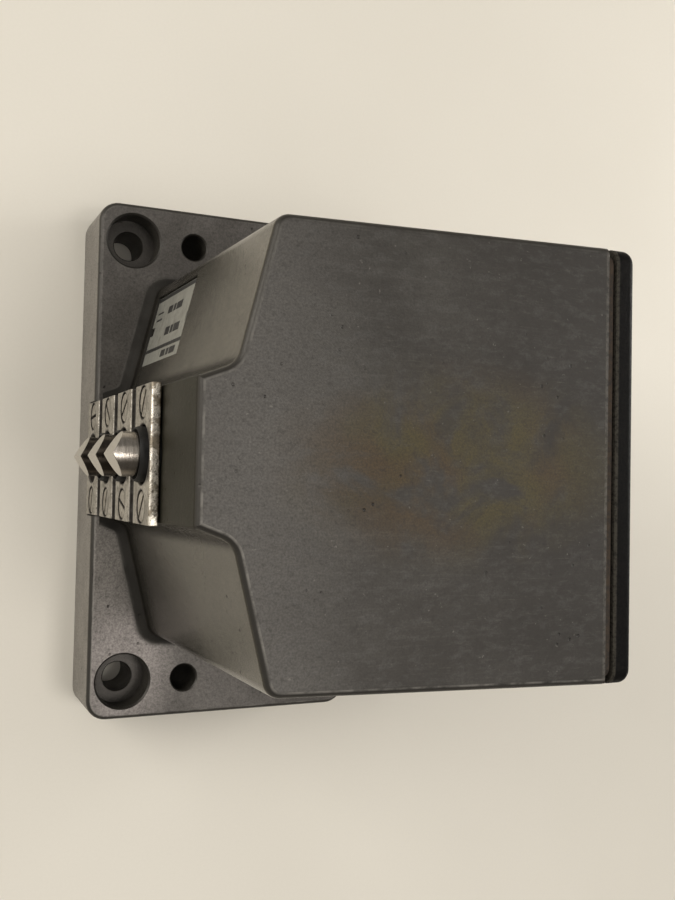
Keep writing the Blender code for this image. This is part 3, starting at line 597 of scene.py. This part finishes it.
def plate_material():
    """Worn nickel plate: bright lands, mottled with dark wear and a little rust-brown dirt, and a pale
    upper end face that is rust-mottled plating with a painted highlight.
    """
    g = Graph("worn_nickel", metallic=0.9)
    x, y, z = g.position()
    face, end = FRONT_EDGE_X + PLATE_FRONT, position_z(1) + PLATE_MARGIN
    blotch = g.noise(330, 6, 0.7, 0.6)
    speck = g.noise(1500, 4, 0.7)
    along_row = g.math("FRACT", g.math("DIVIDE", g.math("SUBTRACT", z, FIRST_Z - PITCH), PITCH))
    off_groove = g.math("ABSOLUTE", g.math("SUBTRACT", along_row, 0.5))
    off_position = g.product(g.math("SUBTRACT", 0.5, off_groove), PITCH)
    off_screw = g.length(off_position, g.math("SUBTRACT", g.math("ABSOLUTE", y), GUIDE_SCREW_Y))
    groove = g.product(
        g.ramp(off_groove, 0.146, 0.130), g.ramp(z, 0.0715, 0.0700), g.ramp(z, 0.0160, 0.0170),
        g.ramp(x, face + 0.00012, face + 0.0004),
    )
    dirt = g.product(groove, g.ramp(g.noise(420, 5, 0.6), 0.25, 0.6, 0.75, 1.0))
    round_screw = g.product(g.ramp(off_screw, 0.0034, 0.0030), g.ramp(speck, 0.2, 0.5, 0.7, 1.0))
    round_seal = g.ramp(g.length(off_position, y), 0.0059, 0.0054)
    dirt = g.math("MAXIMUM", g.math("MAXIMUM", dirt, round_screw), round_seal)
    behind = g.ramp(x, face + 0.0009, FRONT_EDGE_X + PLATE_BACK - 0.0002)
    end_grime = g.product(g.ramp(g.noise(900, 5, 0.7), 0.40, 0.58), behind, 0.8)
    # The upper end face: rust-mottled plating with a painted highlight.
    end_tone = g.mix(g.ramp(blotch, 0.44, 0.54), (0.86, 0.81, 0.72), (0.30, 0.26, 0.20))

    colour = g.mix(g.ramp(blotch, 0.40, 0.62), (0.44, 0.41, 0.36), (0.27, 0.25, 0.215))
    colour = g.mix(g.ramp(z, end - 0.0004, end - 0.0001), colour, end_tone)
    colour = g.mix(g.ramp(speck, 0.52, 0.66, 0, 0.85), colour, (0.10, 0.088, 0.070))
    colour = g.mix(end_grime, colour, (0.12, 0.10, 0.075))
    colour = g.mix(dirt, colour, (0.016, 0.012, 0.008))
    roughness = g.math("ADD", g.ramp(blotch, 0.35, 0.65, 0.26, 0.48), g.product(dirt, 0.3))
    g.bump(speck, 0.00008, 0.5)
    g.bump(blotch, 0.0002, 0.15)
    return g.finish(colour, roughness, g.ramp(dirt, 0.1, 0.9, 0.92, 0.0))


def steel_material(name, light, dark, roughness, scale, stretch=(1, 1, 1)):
    """Steel with turning or grinding marks and small dark specks."""
    g = Graph(name, metallic=1.0)
    marks = g.noise(scale, 5, 0.6, 0.2, g.stretched(stretch))
    specks = g.ramp(g.noise(1400, 3, 0.6), 0.62, 0.74, 0, 0.7)
    colour = g.mix(g.ramp(marks, 0.35, 0.68), light, dark)
    colour = g.mix(specks, colour, tuple(channel * 0.3 for channel in dark))
    g.bump(marks, 0.00006, 0.35)
    return g.finish(colour, g.ramp(marks, 0.3, 0.7, roughness, roughness + 0.14))


def screw_material():
    """Tarnished steel, with dirt in the slots and under the rims of the heads."""
    g = Graph("screw_steel", metallic=1.0)
    x, _, _ = g.position()
    tarnish = g.noise(700, 5, 0.6, 0.2)
    colour = g.mix(g.ramp(tarnish, 0.35, 0.68), (0.46, 0.43, 0.38), (0.25, 0.225, 0.19))
    colour = g.mix(g.ramp(g.noise(1400, 3, 0.6), 0.58, 0.70, 0, 0.8), colour, (0.07, 0.06, 0.05))
    top = FRONT_EDGE_X + PLATE_FRONT + 0.0001
    dirt = g.ramp(x, top + 0.00012, top + 0.00026)
    colour = g.mix(dirt, colour, (0.018, 0.015, 0.011))
    g.bump(tarnish, 0.00006, 0.35)
    return g.finish(colour, g.ramp(dirt, 0, 1, 0.36, 0.75), g.ramp(dirt, 0, 1, 1.0, 0.1))


def plunger_material():
    """Ground steel: dark and bright along the rod, paler and rougher where the cams rub the roof, with
    painted shade on each rod's underside and on the lower plungers' rods.
    """
    g = Graph("polished_steel", metallic=1.0)
    nx, ny = g.facing(0), g.facing(1)
    marks = g.noise(260, 5, 0.6, 0.2, g.stretched((14, 1, 1)))
    specks = g.ramp(g.noise(1400, 3, 0.6), 0.62, 0.74, 0, 0.7)
    roof = g.ramp(nx, -0.3, -0.45)
    _, _, z = g.position()
    rod = g.mix(g.ramp(marks, 0.35, 0.68), (0.50, 0.465, 0.42), (0.34, 0.31, 0.27))
    # Painted shade: the rods lower than the first plunger's are darkened.
    shaded = g.ramp(z, position_z(1) - 0.0030, position_z(1) - 0.0042, 0, 0.88)
    # Painted shade: the underside of each rod is darker.
    rod = g.mix(g.ramp(ny, 0.10, -0.50, 0, 0.75), rod, (0.12, 0.10, 0.08))
    rod = g.mix(shaded, rod, (0.025, 0.018, 0.012))
    colour = g.mix(roof, rod, (0.56, 0.53, 0.48))
    colour = g.mix(specks, colour, (0.10, 0.09, 0.08))
    g.bump(marks, 0.00006, 0.3)
    return g.finish(colour, g.ramp(roof, 0, 1, 0.27, 0.34))


def moulding_material(name, light, dark, roughness):
    g = Graph(name, metallic=0.0)
    cloud = g.noise(300, 5, 0.65)
    colour = g.mix(g.ramp(cloud, 0.35, 0.65), light, dark)
    g.bump(g.noise(1800, 3), 0.00006, 0.5)
    return g.finish(colour, g.ramp(cloud, 0.3, 0.7, roughness, roughness + 0.12))


def label_material():
    """Satin silver plate, finely brushed and slightly stained."""
    g = Graph("label_plate", metallic=0.55)
    brush = g.noise(1, 4, 0.6, 0.0, g.stretched((300, 300, 4200)))
    stain = g.noise(260, 5, 0.65)
    colour = g.mix(g.ramp(brush, 0.35, 0.7), (0.38, 0.38, 0.345), (0.28, 0.28, 0.25))
    colour = g.mix(g.ramp(stain, 0.50, 0.74, 0, 0.6), colour, (0.17, 0.165, 0.14))
    g.bump(brush, 0.00003, 0.4)
    return g.finish(colour, g.ramp(stain, 0.3, 0.7, 0.34, 0.5))


def ink_material():
    g = Graph("label_ink", metallic=0.0)
    wear = g.noise(1300, 4, 0.7)
    colour = g.mix(g.ramp(wear, 0.55, 0.75), (0.012, 0.012, 0.012), (0.06, 0.06, 0.055))
    return g.finish(colour, g.ramp(wear, 0.3, 0.7, 0.35, 0.55))


CASTING = casting_material()
COVER = cover_material()
RUBBER = rubber_material()
GASKET = gasket_material()
PLATE = plate_material()
PLUNGER = plunger_material()
SCREW = screw_material()
ZINC = steel_material("zinc_plate", (0.60, 0.60, 0.58), (0.42, 0.43, 0.42), 0.30, 500)
SPRING = steel_material("spring_wire", (0.50, 0.50, 0.50), (0.28, 0.28, 0.28), 0.28, 900)
BRONZE = steel_material("bearing_bronze", (0.55, 0.34, 0.15), (0.38, 0.22, 0.09), 0.34, 300, (20, 1, 1))
THERMOSET = moulding_material("switch_moulding", (0.32, 0.25, 0.16), (0.24, 0.18, 0.11), 0.5)
LABEL = label_material()
INK = ink_material()


# ---------------------------------------------------------------- housing


def body_outline(inset=0.0):
    """The casting seen from above, counter-clockwise, drawn in from its walls by an inset."""
    half = [
        (NOSE_FRONT, NOSE_HALF_WIDTH), tuple(NECK),
        (SHOULDER_X, SHOULDER_HALF_WIDTH), (BODY_REAR, REAR_HALF_WIDTH),
    ]
    radii = [max(0.0006 - inset, 0.0001), 0.004 + inset, 0.003 - inset, 0.0]
    corners = [Vector(point) for point in reversed(half)] + [Vector((x, -y)) for x, y in half]
    corners = spread(corners, -inset)
    corners[0].x = corners[-1].x = BODY_REAR
    return rounded(list(zip(corners, radii[::-1] + radii)))


def flared(point, height):
    share = 1 - height / BODY_HEIGHT
    x = point.x if point.x > BODY_REAR - 1e-4 else point.x - DRAFT * share
    return Vector((x, point.y * (1 + DRAFT * share / REAR_HALF_WIDTH)))


def drafted_body():
    """The body, with its upper rim rounded except along the rear face."""
    rim, steps = EDGE_ROUND + 0.0002, 5
    rings = [([flared(point, 0) for point in body_outline()], 0)]
    for step in range(steps + 1):
        angle = step / steps * math.pi / 2
        height = BODY_HEIGHT - rim * (1 - math.sin(angle))
        outline = body_outline(rim * (1 - math.cos(angle)))
        rings.append(([flared(point, height) for point in outline], height))
    return stacked_mesh(rings)


def round_edges(mesh, width, segments, chosen):
    bm = bmesh.new()
    bm.from_mesh(mesh)
    edges = [edge for edge in bm.edges if chosen(edge.verts[0].co, edge.verts[1].co)]
    bmesh.ops.bevel(bm, geom=edges, offset=width, segments=segments, profile=0.5, affect="EDGES")
    bm.to_mesh(mesh)
    bm.free()


def foot_mesh(steps=7):
    """The fillet between the walls and the flange, solid all the way through."""
    outline = body_outline()
    rings = [(spread(outline, FOOT_FILLET), FLANGE_THICKNESS / 2)]
    for step in range(steps + 1):
        angle = step / steps * math.pi / 2
        height = FLANGE_THICKNESS + FOOT_FILLET * (1 - math.cos(angle))
        wall = [flared(point, height) for point in outline]
        rings.append((spread(wall, FOOT_FILLET * (1 - math.sin(angle)) - 1e-5), height))
    mesh = stacked_mesh(rings)
    bm = bmesh.new()
    bm.from_mesh(mesh)
    for x, normal in ((NOSE_FRONT, (-1, 0, 0)), (FLANGE_LENGTH - EDGE_ROUND, (1, 0, 0))):
        everything = bm.verts[:] + bm.edges[:] + bm.faces[:]
        sliced = bmesh.ops.bisect_plane(
            bm, geom=everything, plane_co=(x, 0, 0), plane_no=normal, clear_outer=True
        )
        rim = [item for item in sliced["geom_cut"] if isinstance(item, bmesh.types.BMEdge)]
        bmesh.ops.contextual_create(bm, geom=rim)
    bm.to_mesh(mesh)
    bm.free()
    return mesh


def cavity_mesh():
    side, low, high = CAVITY_HALF_WIDTH, WALL, BODY_HEIGHT - WALL
    corners = []
    for y, z in ((side, high), (-side, high), (-side, low), (side, low)):
        inner_y = y - math.copysign(POST, y)
        inner_z = z + (POST if z == low else -POST)
        step = [((y, inner_z), 0.001), ((inner_y, inner_z), 0.002), ((inner_y, z), 0.001)]
        corners += step if y * (z - (low + high) / 2) > 0 else step[::-1]
    return along_x(stacked_mesh([(rounded(corners, 3), 0), (rounded(corners, 3), 0.1)]), CAVITY_FRONT)


def wall_frame():
    """A frame in the middle of the label's place: x along the wall, y up it, z out of it."""
    corner = flared(Vector((SHOULDER_X, SHOULDER_HALF_WIDTH)), LABEL_Z).to_3d()
    neck = flared(NECK, LABEL_Z).to_3d()
    corner.z = neck.z = LABEL_Z
    along = (neck - corner).normalized()
    above = flared(Vector((SHOULDER_X, SHOULDER_HALF_WIDTH)), BODY_HEIGHT).to_3d()
    above.z = BODY_HEIGHT
    out = along.cross(above - corner).normalized()
    place = Matrix((along, out.cross(along), out)).transposed().to_4x4()
    place.translation = corner + along * LABEL_FROM_CORNER
    return place


def cover_screw_places():
    side = CAVITY_HALF_WIDTH - POST / 2 + 0.001
    inset = WALL + POST / 2 - 0.001
    return [(y, z) for z in (inset, BODY_HEIGHT - inset) for y in (-side, side)]


def housing_cutters():
    """Everything that is cut or bored in the casting."""
    yield box_mesh((-0.01, -0.0129, POCKET_BOTTOM), (NOSE_FRONT, 0.0129, 0.2))
    yield cavity_mesh()
    for number in range(1, 5):
        z = position_z(number)
        seat = [(0, 0.0032), (0.0064, 0.0032), (0.0064, 0.001), (0, 0.001)]
        if number != 4:
            seat = [(0, 0.0185), (0.0055, 0.0185), (0.0055, 0.0032)] + seat[1:]
        yield placed(turned_mesh(seat), at(0, 0, z), TO_PLUS_X)
        for side in (-1, 1):
            hole = turned_mesh([(0, 0.011), (0.0017, 0.011), (0.0017, 0.001), (0, 0.001)], 24)
            yield placed(hole, at(0, side * GUIDE_SCREW_Y, z), TO_PLUS_X)
    top, floor = FLANGE_THICKNESS, FLANGE_THICKNESS - 0.0064
    counterbored = [
        (0, top + 0.001), (0.0064, top + 0.001), (0.0064, top), (0.0060, top - 0.0004), (0.0060, floor),
        (0.0035, floor), (0.0033, floor - 0.0002), (0.0033, 0.0003), (0.0036, 0), (0.0036, -0.001),
        (0, -0.001),
    ]
    straight = [
        (0, top + 0.001), (0.0033, top + 0.001), (0.0033, top), (0.0030, top - 0.0003),
        (0.0030, -0.001), (0, -0.001),
    ]
    for side in (-1, 1):
        yield placed(turned_mesh(counterbored, 64), at(FIXING_X, side * FIXING_Y, 0))
        yield placed(turned_mesh(straight, 48), at(PIN_HOLE_X, side * FIXING_Y, 0))
    for y, z in cover_screw_places():
        hole = turned_mesh([(0, 0.0815), (0.0021, 0.0815), (0.0021, 0.0665), (0, 0.0665)], 24)
        yield placed(hole, at(0, y, z), TO_PLUS_X)
    recess = box_mesh(
        (-LABEL_WIDTH / 2 - GAP, -LABEL_HEIGHT / 2 - GAP, -LABEL_RECESS),
        (LABEL_WIDTH / 2 + GAP, LABEL_HEIGHT / 2 + GAP, LABEL_RECESS),
    )
    yield placed(recess, wall_frame())
    entry = [(0, 0.010), (0.0132, 0.010), (0.0132, 0), (0.0098, 0), (0.0098, -0.0062), (0, -0.0062)]
    yield placed(turned_mesh(entry, 64), at(ENTRY_X, ENTRY_FACE_Y, ENTRY_Z), TO_MINUS_Y)
    earth_hole = turned_mesh([(0, 0.001), (0.0017, 0.001), (0.0017, -0.003), (0, -0.003)], 24)
    yield placed(earth_hole, at(EARTH_X, EARTH_Y, WALL))


def boss_rods(radius, start, end, sides):
    """Rods along X at the two carrier screws, used for the bosses and for their holes."""
    rod = turned_mesh([(0, end), (radius, end), (radius, start), (0, start)], sides)
    return [placed(rod, at(0, side * CARRIER_SCREW_Y, CARRIER_SCREW_Z), TO_PLUS_X) for side in (-1, 1)]


def make_housing():
    half = [((FLANGE_LENGTH, FLANGE_WIDTH / 2), 0.005), ((0, FLANGE_WIDTH / 2), 0.0045)]
    mirrored = [((x, -y), radius) for (x, y), radius in reversed(half)]
    outline = rounded(half + mirrored)
    flange = stacked_mesh([(outline, 0), (outline, FLANGE_THICKNESS)])
    round_edges(flange, EDGE_ROUND, 4, lambda a, b: min(a.z, b.z) > FLANGE_THICKNESS - 1e-4)
    mesh = combined(drafted_body(), flange, foot_mesh(), operation="UNION")
    mesh = combined(mesh, *housing_cutters())
    mesh = combined(mesh, *boss_rods(0.0045, CAVITY_FRONT - 0.001, CARRIER_X - GAP, 40), operation="UNION")
    mesh = combined(mesh, *boss_rods(0.0019, CAVITY_FRONT + 0.002, CARRIER_X + 0.009, 24))
    piece("housing_shell", mesh, CASTING, node="housing")


# ---------------------------------------------------------------- plate, plungers and seals


def make_guide_plate():
    low = position_z(4) - PLATE_MARGIN
    high = position_z(1) + PLATE_MARGIN
    corners = [((PLATE_BACK, low), 0.0003), ((PLATE_BACK, high), 0.0003), ((PLATE_FRONT, high), 0.0005)]
    floor = PLATE_FRONT + GROOVE_DEPTH
    for number in (1, 2, 3):
        z = position_z(number) - PITCH / 2
        corners += [
            ((PLATE_FRONT, z + GROOVE_WIDTH / 2), 0.00030), ((floor, z + GROOVE_WIDTH / 2), 0.0002),
            ((floor, z - GROOVE_WIDTH / 2), 0.0002), ((PLATE_FRONT, z - GROOVE_WIDTH / 2), 0.00030),
        ]
    corners.append(((PLATE_FRONT, low), 0.0005))
    outline = rounded(corners, 4)
    side_by_side = Matrix(((1, 0, 0, 0), (0, 0, 1, 0), (0, 1, 0, 0), (0, 0, 0, 1)))
    solid = prism_mesh(outline, PLATE_HALF_WIDTH * 2, 0.00014, 3)
    solid = placed(solid, at(0, -PLATE_HALF_WIDTH, 0), side_by_side)
    solid.flip_normals()
    tools = []
    edge = 0.00025
    bore = [
        (0, 0.003), (PLATE_BORE + edge + 0.003, 0.003), (PLATE_BORE + edge, 0), (PLATE_BORE, -edge),
        (PLATE_BORE, -0.004), (0, -0.004),
    ]
    screw_hole = [
        (0, 0.001), (0.0030, 0.001), (0.0030, -0.0004), (0.0017, -0.0017), (0.0017, -0.004), (0, -0.004),
    ]
    for number in range(1, 5):
        z = position_z(number)
        tools.append(placed(turned_mesh(bore, 64), at(PLATE_FRONT, 0, z), TO_MINUS_X))
        for side in (-1, 1):
            place = at(PLATE_FRONT, side * GUIDE_SCREW_Y, z)
            tools.append(placed(turned_mesh(screw_hole, 40), place, TO_MINUS_X))
    piece("guide_plate_shell", combined(solid, *tools), PLATE, node="guide_plate")


def make_plunger(number):
    end = TIP_X - PLUNGER_END
    profile = [
        (0, 0), (PLUNGER_RADIUS, 0), (PLUNGER_RADIUS, -0.0233), (0.0032, -0.0233), (0.0032, -0.0249),
        (PLUNGER_RADIUS, -0.0249), (PLUNGER_RADIUS, end + 0.0004), (PLUNGER_RADIUS - 0.0004, end),
        (0.0024, end), (0.0024, -0.0154), (0, -0.0154),
    ]
    slopes = []
    for turn in (0, math.pi):
        slope = box_mesh((-0.01, -0.001, 0), (0.01, 0.01, 0.01))
        slopes.append(placed(slope, Matrix.Rotation(turn, 4, "Z"), Matrix.Rotation(-ROOF_ANGLE, 4, "X")))
    rod = combined(turned_mesh(profile, 72), *slopes)
    rod = bevelled(rod, 0.00014, 2, 25)
    rod = placed(rod, at(TIP_X, 0, position_z(number)), TO_MINUS_X)
    piece(f"plunger_rod_{number}", rod, PLUNGER, f"plunger_{number}", f"plunger_{number}", 28)


def make_wiper(number):
    profile = softened(
        [
            (0.00450, 0.0017), (0.00475, 0.0018), (0.0050, 0.0012), (0.0050, -0.0020), (0.0061, -0.0020),
            (0.0061, -0.0030), (0.0042, -0.0030), (0.0042, 0.0008), (0.00450, 0.0017),
        ],
        0.0002,
    )[:-1]
    seal = placed(turned_mesh(profile, 64), at(0, 0, position_z(number)), TO_MINUS_X)
    piece(f"wiper_ring_{number}", seal, RUBBER, node=f"wiper_seal_{number}")


def make_blanking_plug():
    profile = softened(
        [
            (0, -0.0004), (0.0034, -0.0004), (0.0040, -0.0008), (0.0050, -0.0008), (0.0050, -0.0020),
            (0.0061, -0.0020), (0.0061, -0.0030), (0, -0.0030),
        ],
        0.00025,
    )
    plug = placed(turned_mesh(profile, 64), at(0, 0, position_z(4)), TO_MINUS_X)
    piece("blanking_plug_cap", plug, RUBBER, node="blanking_plug")


# ---------------------------------------------------------------- screws


def slotted(mesh, width, depth, reach):
    return combined(mesh, box_mesh((-reach, -width / 2, -depth), (reach, width / 2, depth)))


def countersunk_screw(head, shank, height, length, width):
    """Domed a little at the rim, with its top at z = 0."""
    profile = softened(
        [
            (0, 0), (head * 0.93, 0), (head, -0.00018), (head, -0.0003), (shank, -height),
            (shank, -length), (0, -length),
        ],
        0.0001,
        2,
    )
    return bevelled(slotted(turned_mesh(profile, 40), width, height * 0.55, head * 2), 0.00006, 2, 40)


SLOT_TURNS = {1: (55, 51), 2: (32, 162), 3: (141, 66), 4: (6, 67)}


def make_screws():
    guide = countersunk_screw(0.0028, 0.0014, 0.0014, 0.0095, 0.0007)
    for number, turns in SLOT_TURNS.items():
        for side, letter, turn in ((1, "a", turns[0]), (-1, "b", turns[1])):
            place = at(PLATE_FRONT + 0.0001, side * GUIDE_SCREW_Y, position_z(number)) @ TO_MINUS_X
            mesh = placed(guide, place, Matrix.Rotation(math.radians(turn), 4, "Z"))
            name = f"guide_screw_{number}{letter}"
            piece(f"{name}_head", mesh, SCREW, node=name, degrees=28)
    cover = countersunk_screw(0.0037, 0.0018, 0.0019, 0.015, 0.001)
    for index, (y, z) in enumerate(cover_screw_places(), start=1):
        place = at(COVER_END - 0.0002, y, z) @ TO_PLUS_X
        mesh = placed(cover, place, Matrix.Rotation(math.radians(37 * index), 4, "Z"))
        name = f"cover_screw_{index}"
        piece(f"{name}_head", mesh, ZINC, node=name, degrees=28)


# ---------------------------------------------------------------- label


def make_label():
    """The plate and its generic print, which is a thin skin on it."""
    half_width, half_height = LABEL_WIDTH / 2, LABEL_HEIGHT / 2
    notch, depth = 0.001, 0.0024
    right = [
        (half_width, -half_height), (half_width, half_height),
        (notch, half_height), (notch, half_height - depth),
    ]
    left = [(-notch, half_height - depth), (-notch, half_height)]
    points = right + left + [(-x, -y) for x, y in right + left]
    outline = [Vector(point) for point in points]
    plate = stacked_mesh([(outline, 0), (outline, 0.0004)])
    place = wall_frame() @ at(0, 0, GAP / 2 - LABEL_RECESS)
    piece("label_plate", placed(plate, place), LABEL, node="type_label")

    bars = [
        (-half_width + 0.0001, 0.0009, -half_height + 0.0001, LABEL_HEIGHT - 0.0002),
        (0.0043, 0.0008, -half_height + 0.0003, LABEL_HEIGHT - 0.0006),
        (-0.0042, 0.0004, -0.0125, 0.0045),
        (-0.0026, 0.0004, -0.0125, 0.0045),
    ]
    rows = [(-0.0046, 0.0016, -0.0040), (0.0004, 0.0018, -0.0020), (0.0057, 0.0015, -0.0005)]
    for x, width, start in rows:
        for offset, length in ((0, 0.0034), (0.0042, 0.0018), (0.0066, 0.0042)):
            bars.append((x, width, start + offset, length))
    meshes = [box_mesh((x, y, 0.00038), (x + width, y + length, 0.00043)) for x, width, y, length in bars]
    ink = combined(meshes[0], *meshes[1:], operation="UNION")
    piece("label_print", placed(ink, place), INK)


# ---------------------------------------------------------------- rear and cable entry


def rear_outline(width, margin, radius, steps):
    low, high = margin, BODY_HEIGHT - margin
    corners = [(-width, low), (width, low), (width, high), (-width, high)]
    return rounded([(corner, radius) for corner in corners], steps)


def make_gasket():
    """A sheet with the cavity's window, its screw holes and a nub that sticks out at one corner."""
    width, high = REAR_HALF_WIDTH - 0.001, BODY_HEIGHT - 0.001
    outline = rear_outline(width, 0.001, 0.002, 5)
    gasket = along_x(prism_mesh(outline, GASKET_THICKNESS, 0.0004, 3), GASKET_X)
    nub = box_mesh(
        (GASKET_X + 0.0002, -width - 0.0012, high - 0.004),
        (GASKET_X + 0.0015, -width + 0.001, high - 0.001),
    )
    gasket = combined(gasket, bevelled(nub, 0.0003, 3), operation="UNION")
    window = placed(cavity_mesh(), at(0.045, 0, 0))
    holes = []
    for y, z in cover_screw_places():
        hole = turned_mesh([(0, 0.09), (0.0022, 0.09), (0.0022, 0.07), (0, 0.07)], 24)
        holes.append(placed(hole, at(0, y, z), TO_PLUS_X))
    gasket = combined(gasket, window, *holes)
    piece("cover_gasket_sheet", gasket, GASKET, node="cover_gasket")


def make_cover():
    """A plate with a rounded outer rim and four countersinks."""
    outline = rear_outline(REAR_HALF_WIDTH + 0.0004, 0.0004, 0.003, 8)
    rings = [(spread(outline, -0.0003), 0), (outline, 0.0003)]
    for step in range(7):
        angle = step / 6 * math.pi / 2
        inset = 0.0016 * (1 - math.cos(angle))
        rings.append((spread(outline, -inset), COVER_THICKNESS - 0.0016 * (1 - math.sin(angle))))
    cover = along_x(stacked_mesh(rings), COVER_X)
    sinks = []
    profile = [
        (0, 0.001), (0.0043, 0.001), (0.0040, 0), (0.0040, -0.0005), (0.0021, -0.0024),
        (0.0021, -0.006), (0, -0.006),
    ]
    for y, z in cover_screw_places():
        sinks.append(placed(turned_mesh(profile, 40), at(COVER_END, y, z), TO_PLUS_X))
    piece("rear_cover_shell", combined(cover, *sinks), COVER, node="rear_cover")


def make_cable_entry():
    ring = softened([(0.0100, 0.0019), (0.0118, 0.0019), (0.0118, 0.0003), (0.0100, 0.0003)], 0.0004)
    place = at(ENTRY_X, ENTRY_FACE_Y, ENTRY_Z) @ TO_MINUS_Y
    ring = placed(turned_mesh(ring, 72), place)
    piece("entry_ring", ring, RUBBER, node="cable_entry_seal")
    profile = softened(
        [
            (0, 0.0050), (0.0108, 0.0050), (0.0114, 0.0044), (0.0114, 0.0022), (0.0094, 0.0022),
            (0.0094, -0.0045), (0, -0.0045),
        ],
        0.0003,
    )
    plug = slotted(placed(turned_mesh(profile, 72), at(0, 0, -0.0050)), 0.0022, 0.0016, 0.008)
    plug = placed(bevelled(plug, 0.00012, 2, 40), place, at(0, 0, 0.0050))
    piece("entry_plug", plug, COVER, node="cable_entry_plug")


# ---------------------------------------------------------------- inside


def spring_mesh(number, start, end, radius, wire, turns):
    """A coil along X between two places, its axis on the plunger's."""
    curve = bpy.data.curves.new("coil", "CURVE")
    curve.dimensions = "3D"
    curve.bevel_depth = wire
    curve.bevel_resolution = 2
    curve.use_fill_caps = True
    spline = curve.splines.new("POLY")
    count = int(turns * 20) + 1
    spline.points.add(count - 1)
    for index, point in enumerate(spline.points):
        share = index / (count - 1)
        angle = share * turns * 2 * math.pi
        x = start + wire + (end - start - 2 * wire) * share
        point.co = (x, radius * math.cos(angle), radius * math.sin(angle), 1)
    return placed(baked_mesh(scratch(curve)), at(0, 0, position_z(number)))


def make_springs(number):
    """The outer spring pushes the plunger out, the inner one gives way once the switch has worked."""
    z, joint = position_z(number), f"plunger_slide_{number}"
    mesh = spring_mesh(number, 0.0188, 0.0306, 0.0051, 0.00045, 4.5)
    node = f"return_spring_{number}"
    spring = piece(f"return_coil_{number}", mesh, SPRING, node=node, degrees=60)
    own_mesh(spring)
    mesh = spring_mesh(number, 0.0093, 0.0182, 0.0018, 0.00025, 5.5)
    node = f"overtravel_spring_{number}"
    spring = piece(
        f"overtravel_coil_{number}", mesh, SPRING, f"plunger_{number}", node, 60
    )
    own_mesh(spring)


def finish_inner_nodes():
    """The CAD nodes that stay as they are get their materials here."""
    looks = {
        "guide_bush": BRONZE, "retaining_ring": SPRING, "transfer_pin": ZINC, "switch_case": THERMOSET,
        "switch_button": BRONZE, "switch_carrier": ZINC, "carrier_screw": ZINC, "terminal_screw": ZINC,
        "earth_screw": ZINC,
    }
    for name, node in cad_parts.items():
        for prefix, material in looks.items():
            if name.startswith(prefix):
                node.data.materials.clear()
                node.data.materials.append(material)


# ---------------------------------------------------------------- stage


def make_floor():
    floor = mesh_from(lambda bm: bmesh.ops.create_grid(bm, x_segments=1, y_segments=1, size=2.0))
    g = Graph("pale_table", metallic=0.0)
    tone = g.noise(9, 3, 0.5)
    speckle = g.noise(1500, 2, 0.5)
    colour = g.mix(g.ramp(tone, 0.3, 0.7), (0.74, 0.71, 0.635), (0.71, 0.68, 0.605))
    colour = g.mix(g.ramp(speckle, 0.3, 0.75, 0, 0.10), colour, (0.64, 0.61, 0.55))
    g.bump(speckle, 0.00004, 0.3)
    material = g.finish(colour, g.ramp(tone, 0.2, 0.8, 0.55, 0.65))
    floor.materials.append(material)
    obj = bpy.data.objects.new("table_top", floor)
    obj.location = (0, 0, -0.00005)
    bpy.context.scene.collection.objects.link(obj)


def add_light(name, location, target, size, power, colour):
    lamp = bpy.data.lights.new(name, "AREA")
    lamp.shape = "DISK"
    lamp.size = size
    lamp.energy = power
    lamp.color = colour
    obj = bpy.data.objects.new(name, lamp)
    obj.location = location
    obj.rotation_euler = (Vector(target) - Vector(location)).to_track_quat("-Z", "Y").to_euler()
    bpy.context.scene.collection.objects.link(obj)


def set_stage():
    make_floor()
    add_light("lamp", (0.24, -0.18, 1.06), (0, 0, 0.05), 0.35, 2.6, (1.0, 0.95, 0.90))
    add_light("ceiling", (0.0, 0.0, 1.60), (0, 0, 0.05), 2.2, 9.2, (1.0, 0.95, 0.89))
    add_light("side_window", (0.50, 0.10, 0.16), (0.08, 0, 0.0), 0.25, 1.1, (1.0, 0.97, 0.93))
    add_light("left_fill", (-0.64, 0.28, 0.40), (0, 0, 0.03), 0.50, 3.6, (1.0, 0.96, 0.90))
    world = bpy.data.worlds.new("room")
    world.use_nodes = True
    background = world.node_tree.nodes["Background"]
    background.inputs["Color"].default_value = (1.0, 0.95, 0.875, 1)
    background.inputs["Strength"].default_value = 0.24
    bpy.context.scene.world = world
    bpy.context.scene.view_settings.view_transform = "Standard"


def set_camera():
    camera = bpy.data.cameras.new("camera")
    camera.sensor_width = 36
    camera.lens = 39.48
    camera.clip_start = 0.01
    camera.dof.use_dof = False
    obj = bpy.data.objects.new("camera", camera)
    right = Vector((0.911455, 0.020110, 0.410907))
    forward = Vector((0.410145, 0.033513, -0.911404))
    up = right.cross(forward)
    place = Matrix((right, up, -forward)).transposed().to_4x4()
    place.translation = (FRONT_EDGE_X - 0.040785, -0.004436, 0.241916)
    obj.matrix_world = place
    bpy.context.scene.collection.objects.link(obj)
    bpy.context.scene.camera = obj


make_housing()
make_guide_plate()
make_blanking_plug()
make_label()
make_gasket()
make_cover()
make_cable_entry()
make_screws()
for number in PLUNGER_NUMBERS:
    make_plunger(number)
    make_wiper(number)
    make_springs(number)
finish_inner_nodes()
set_stage()
set_camera()
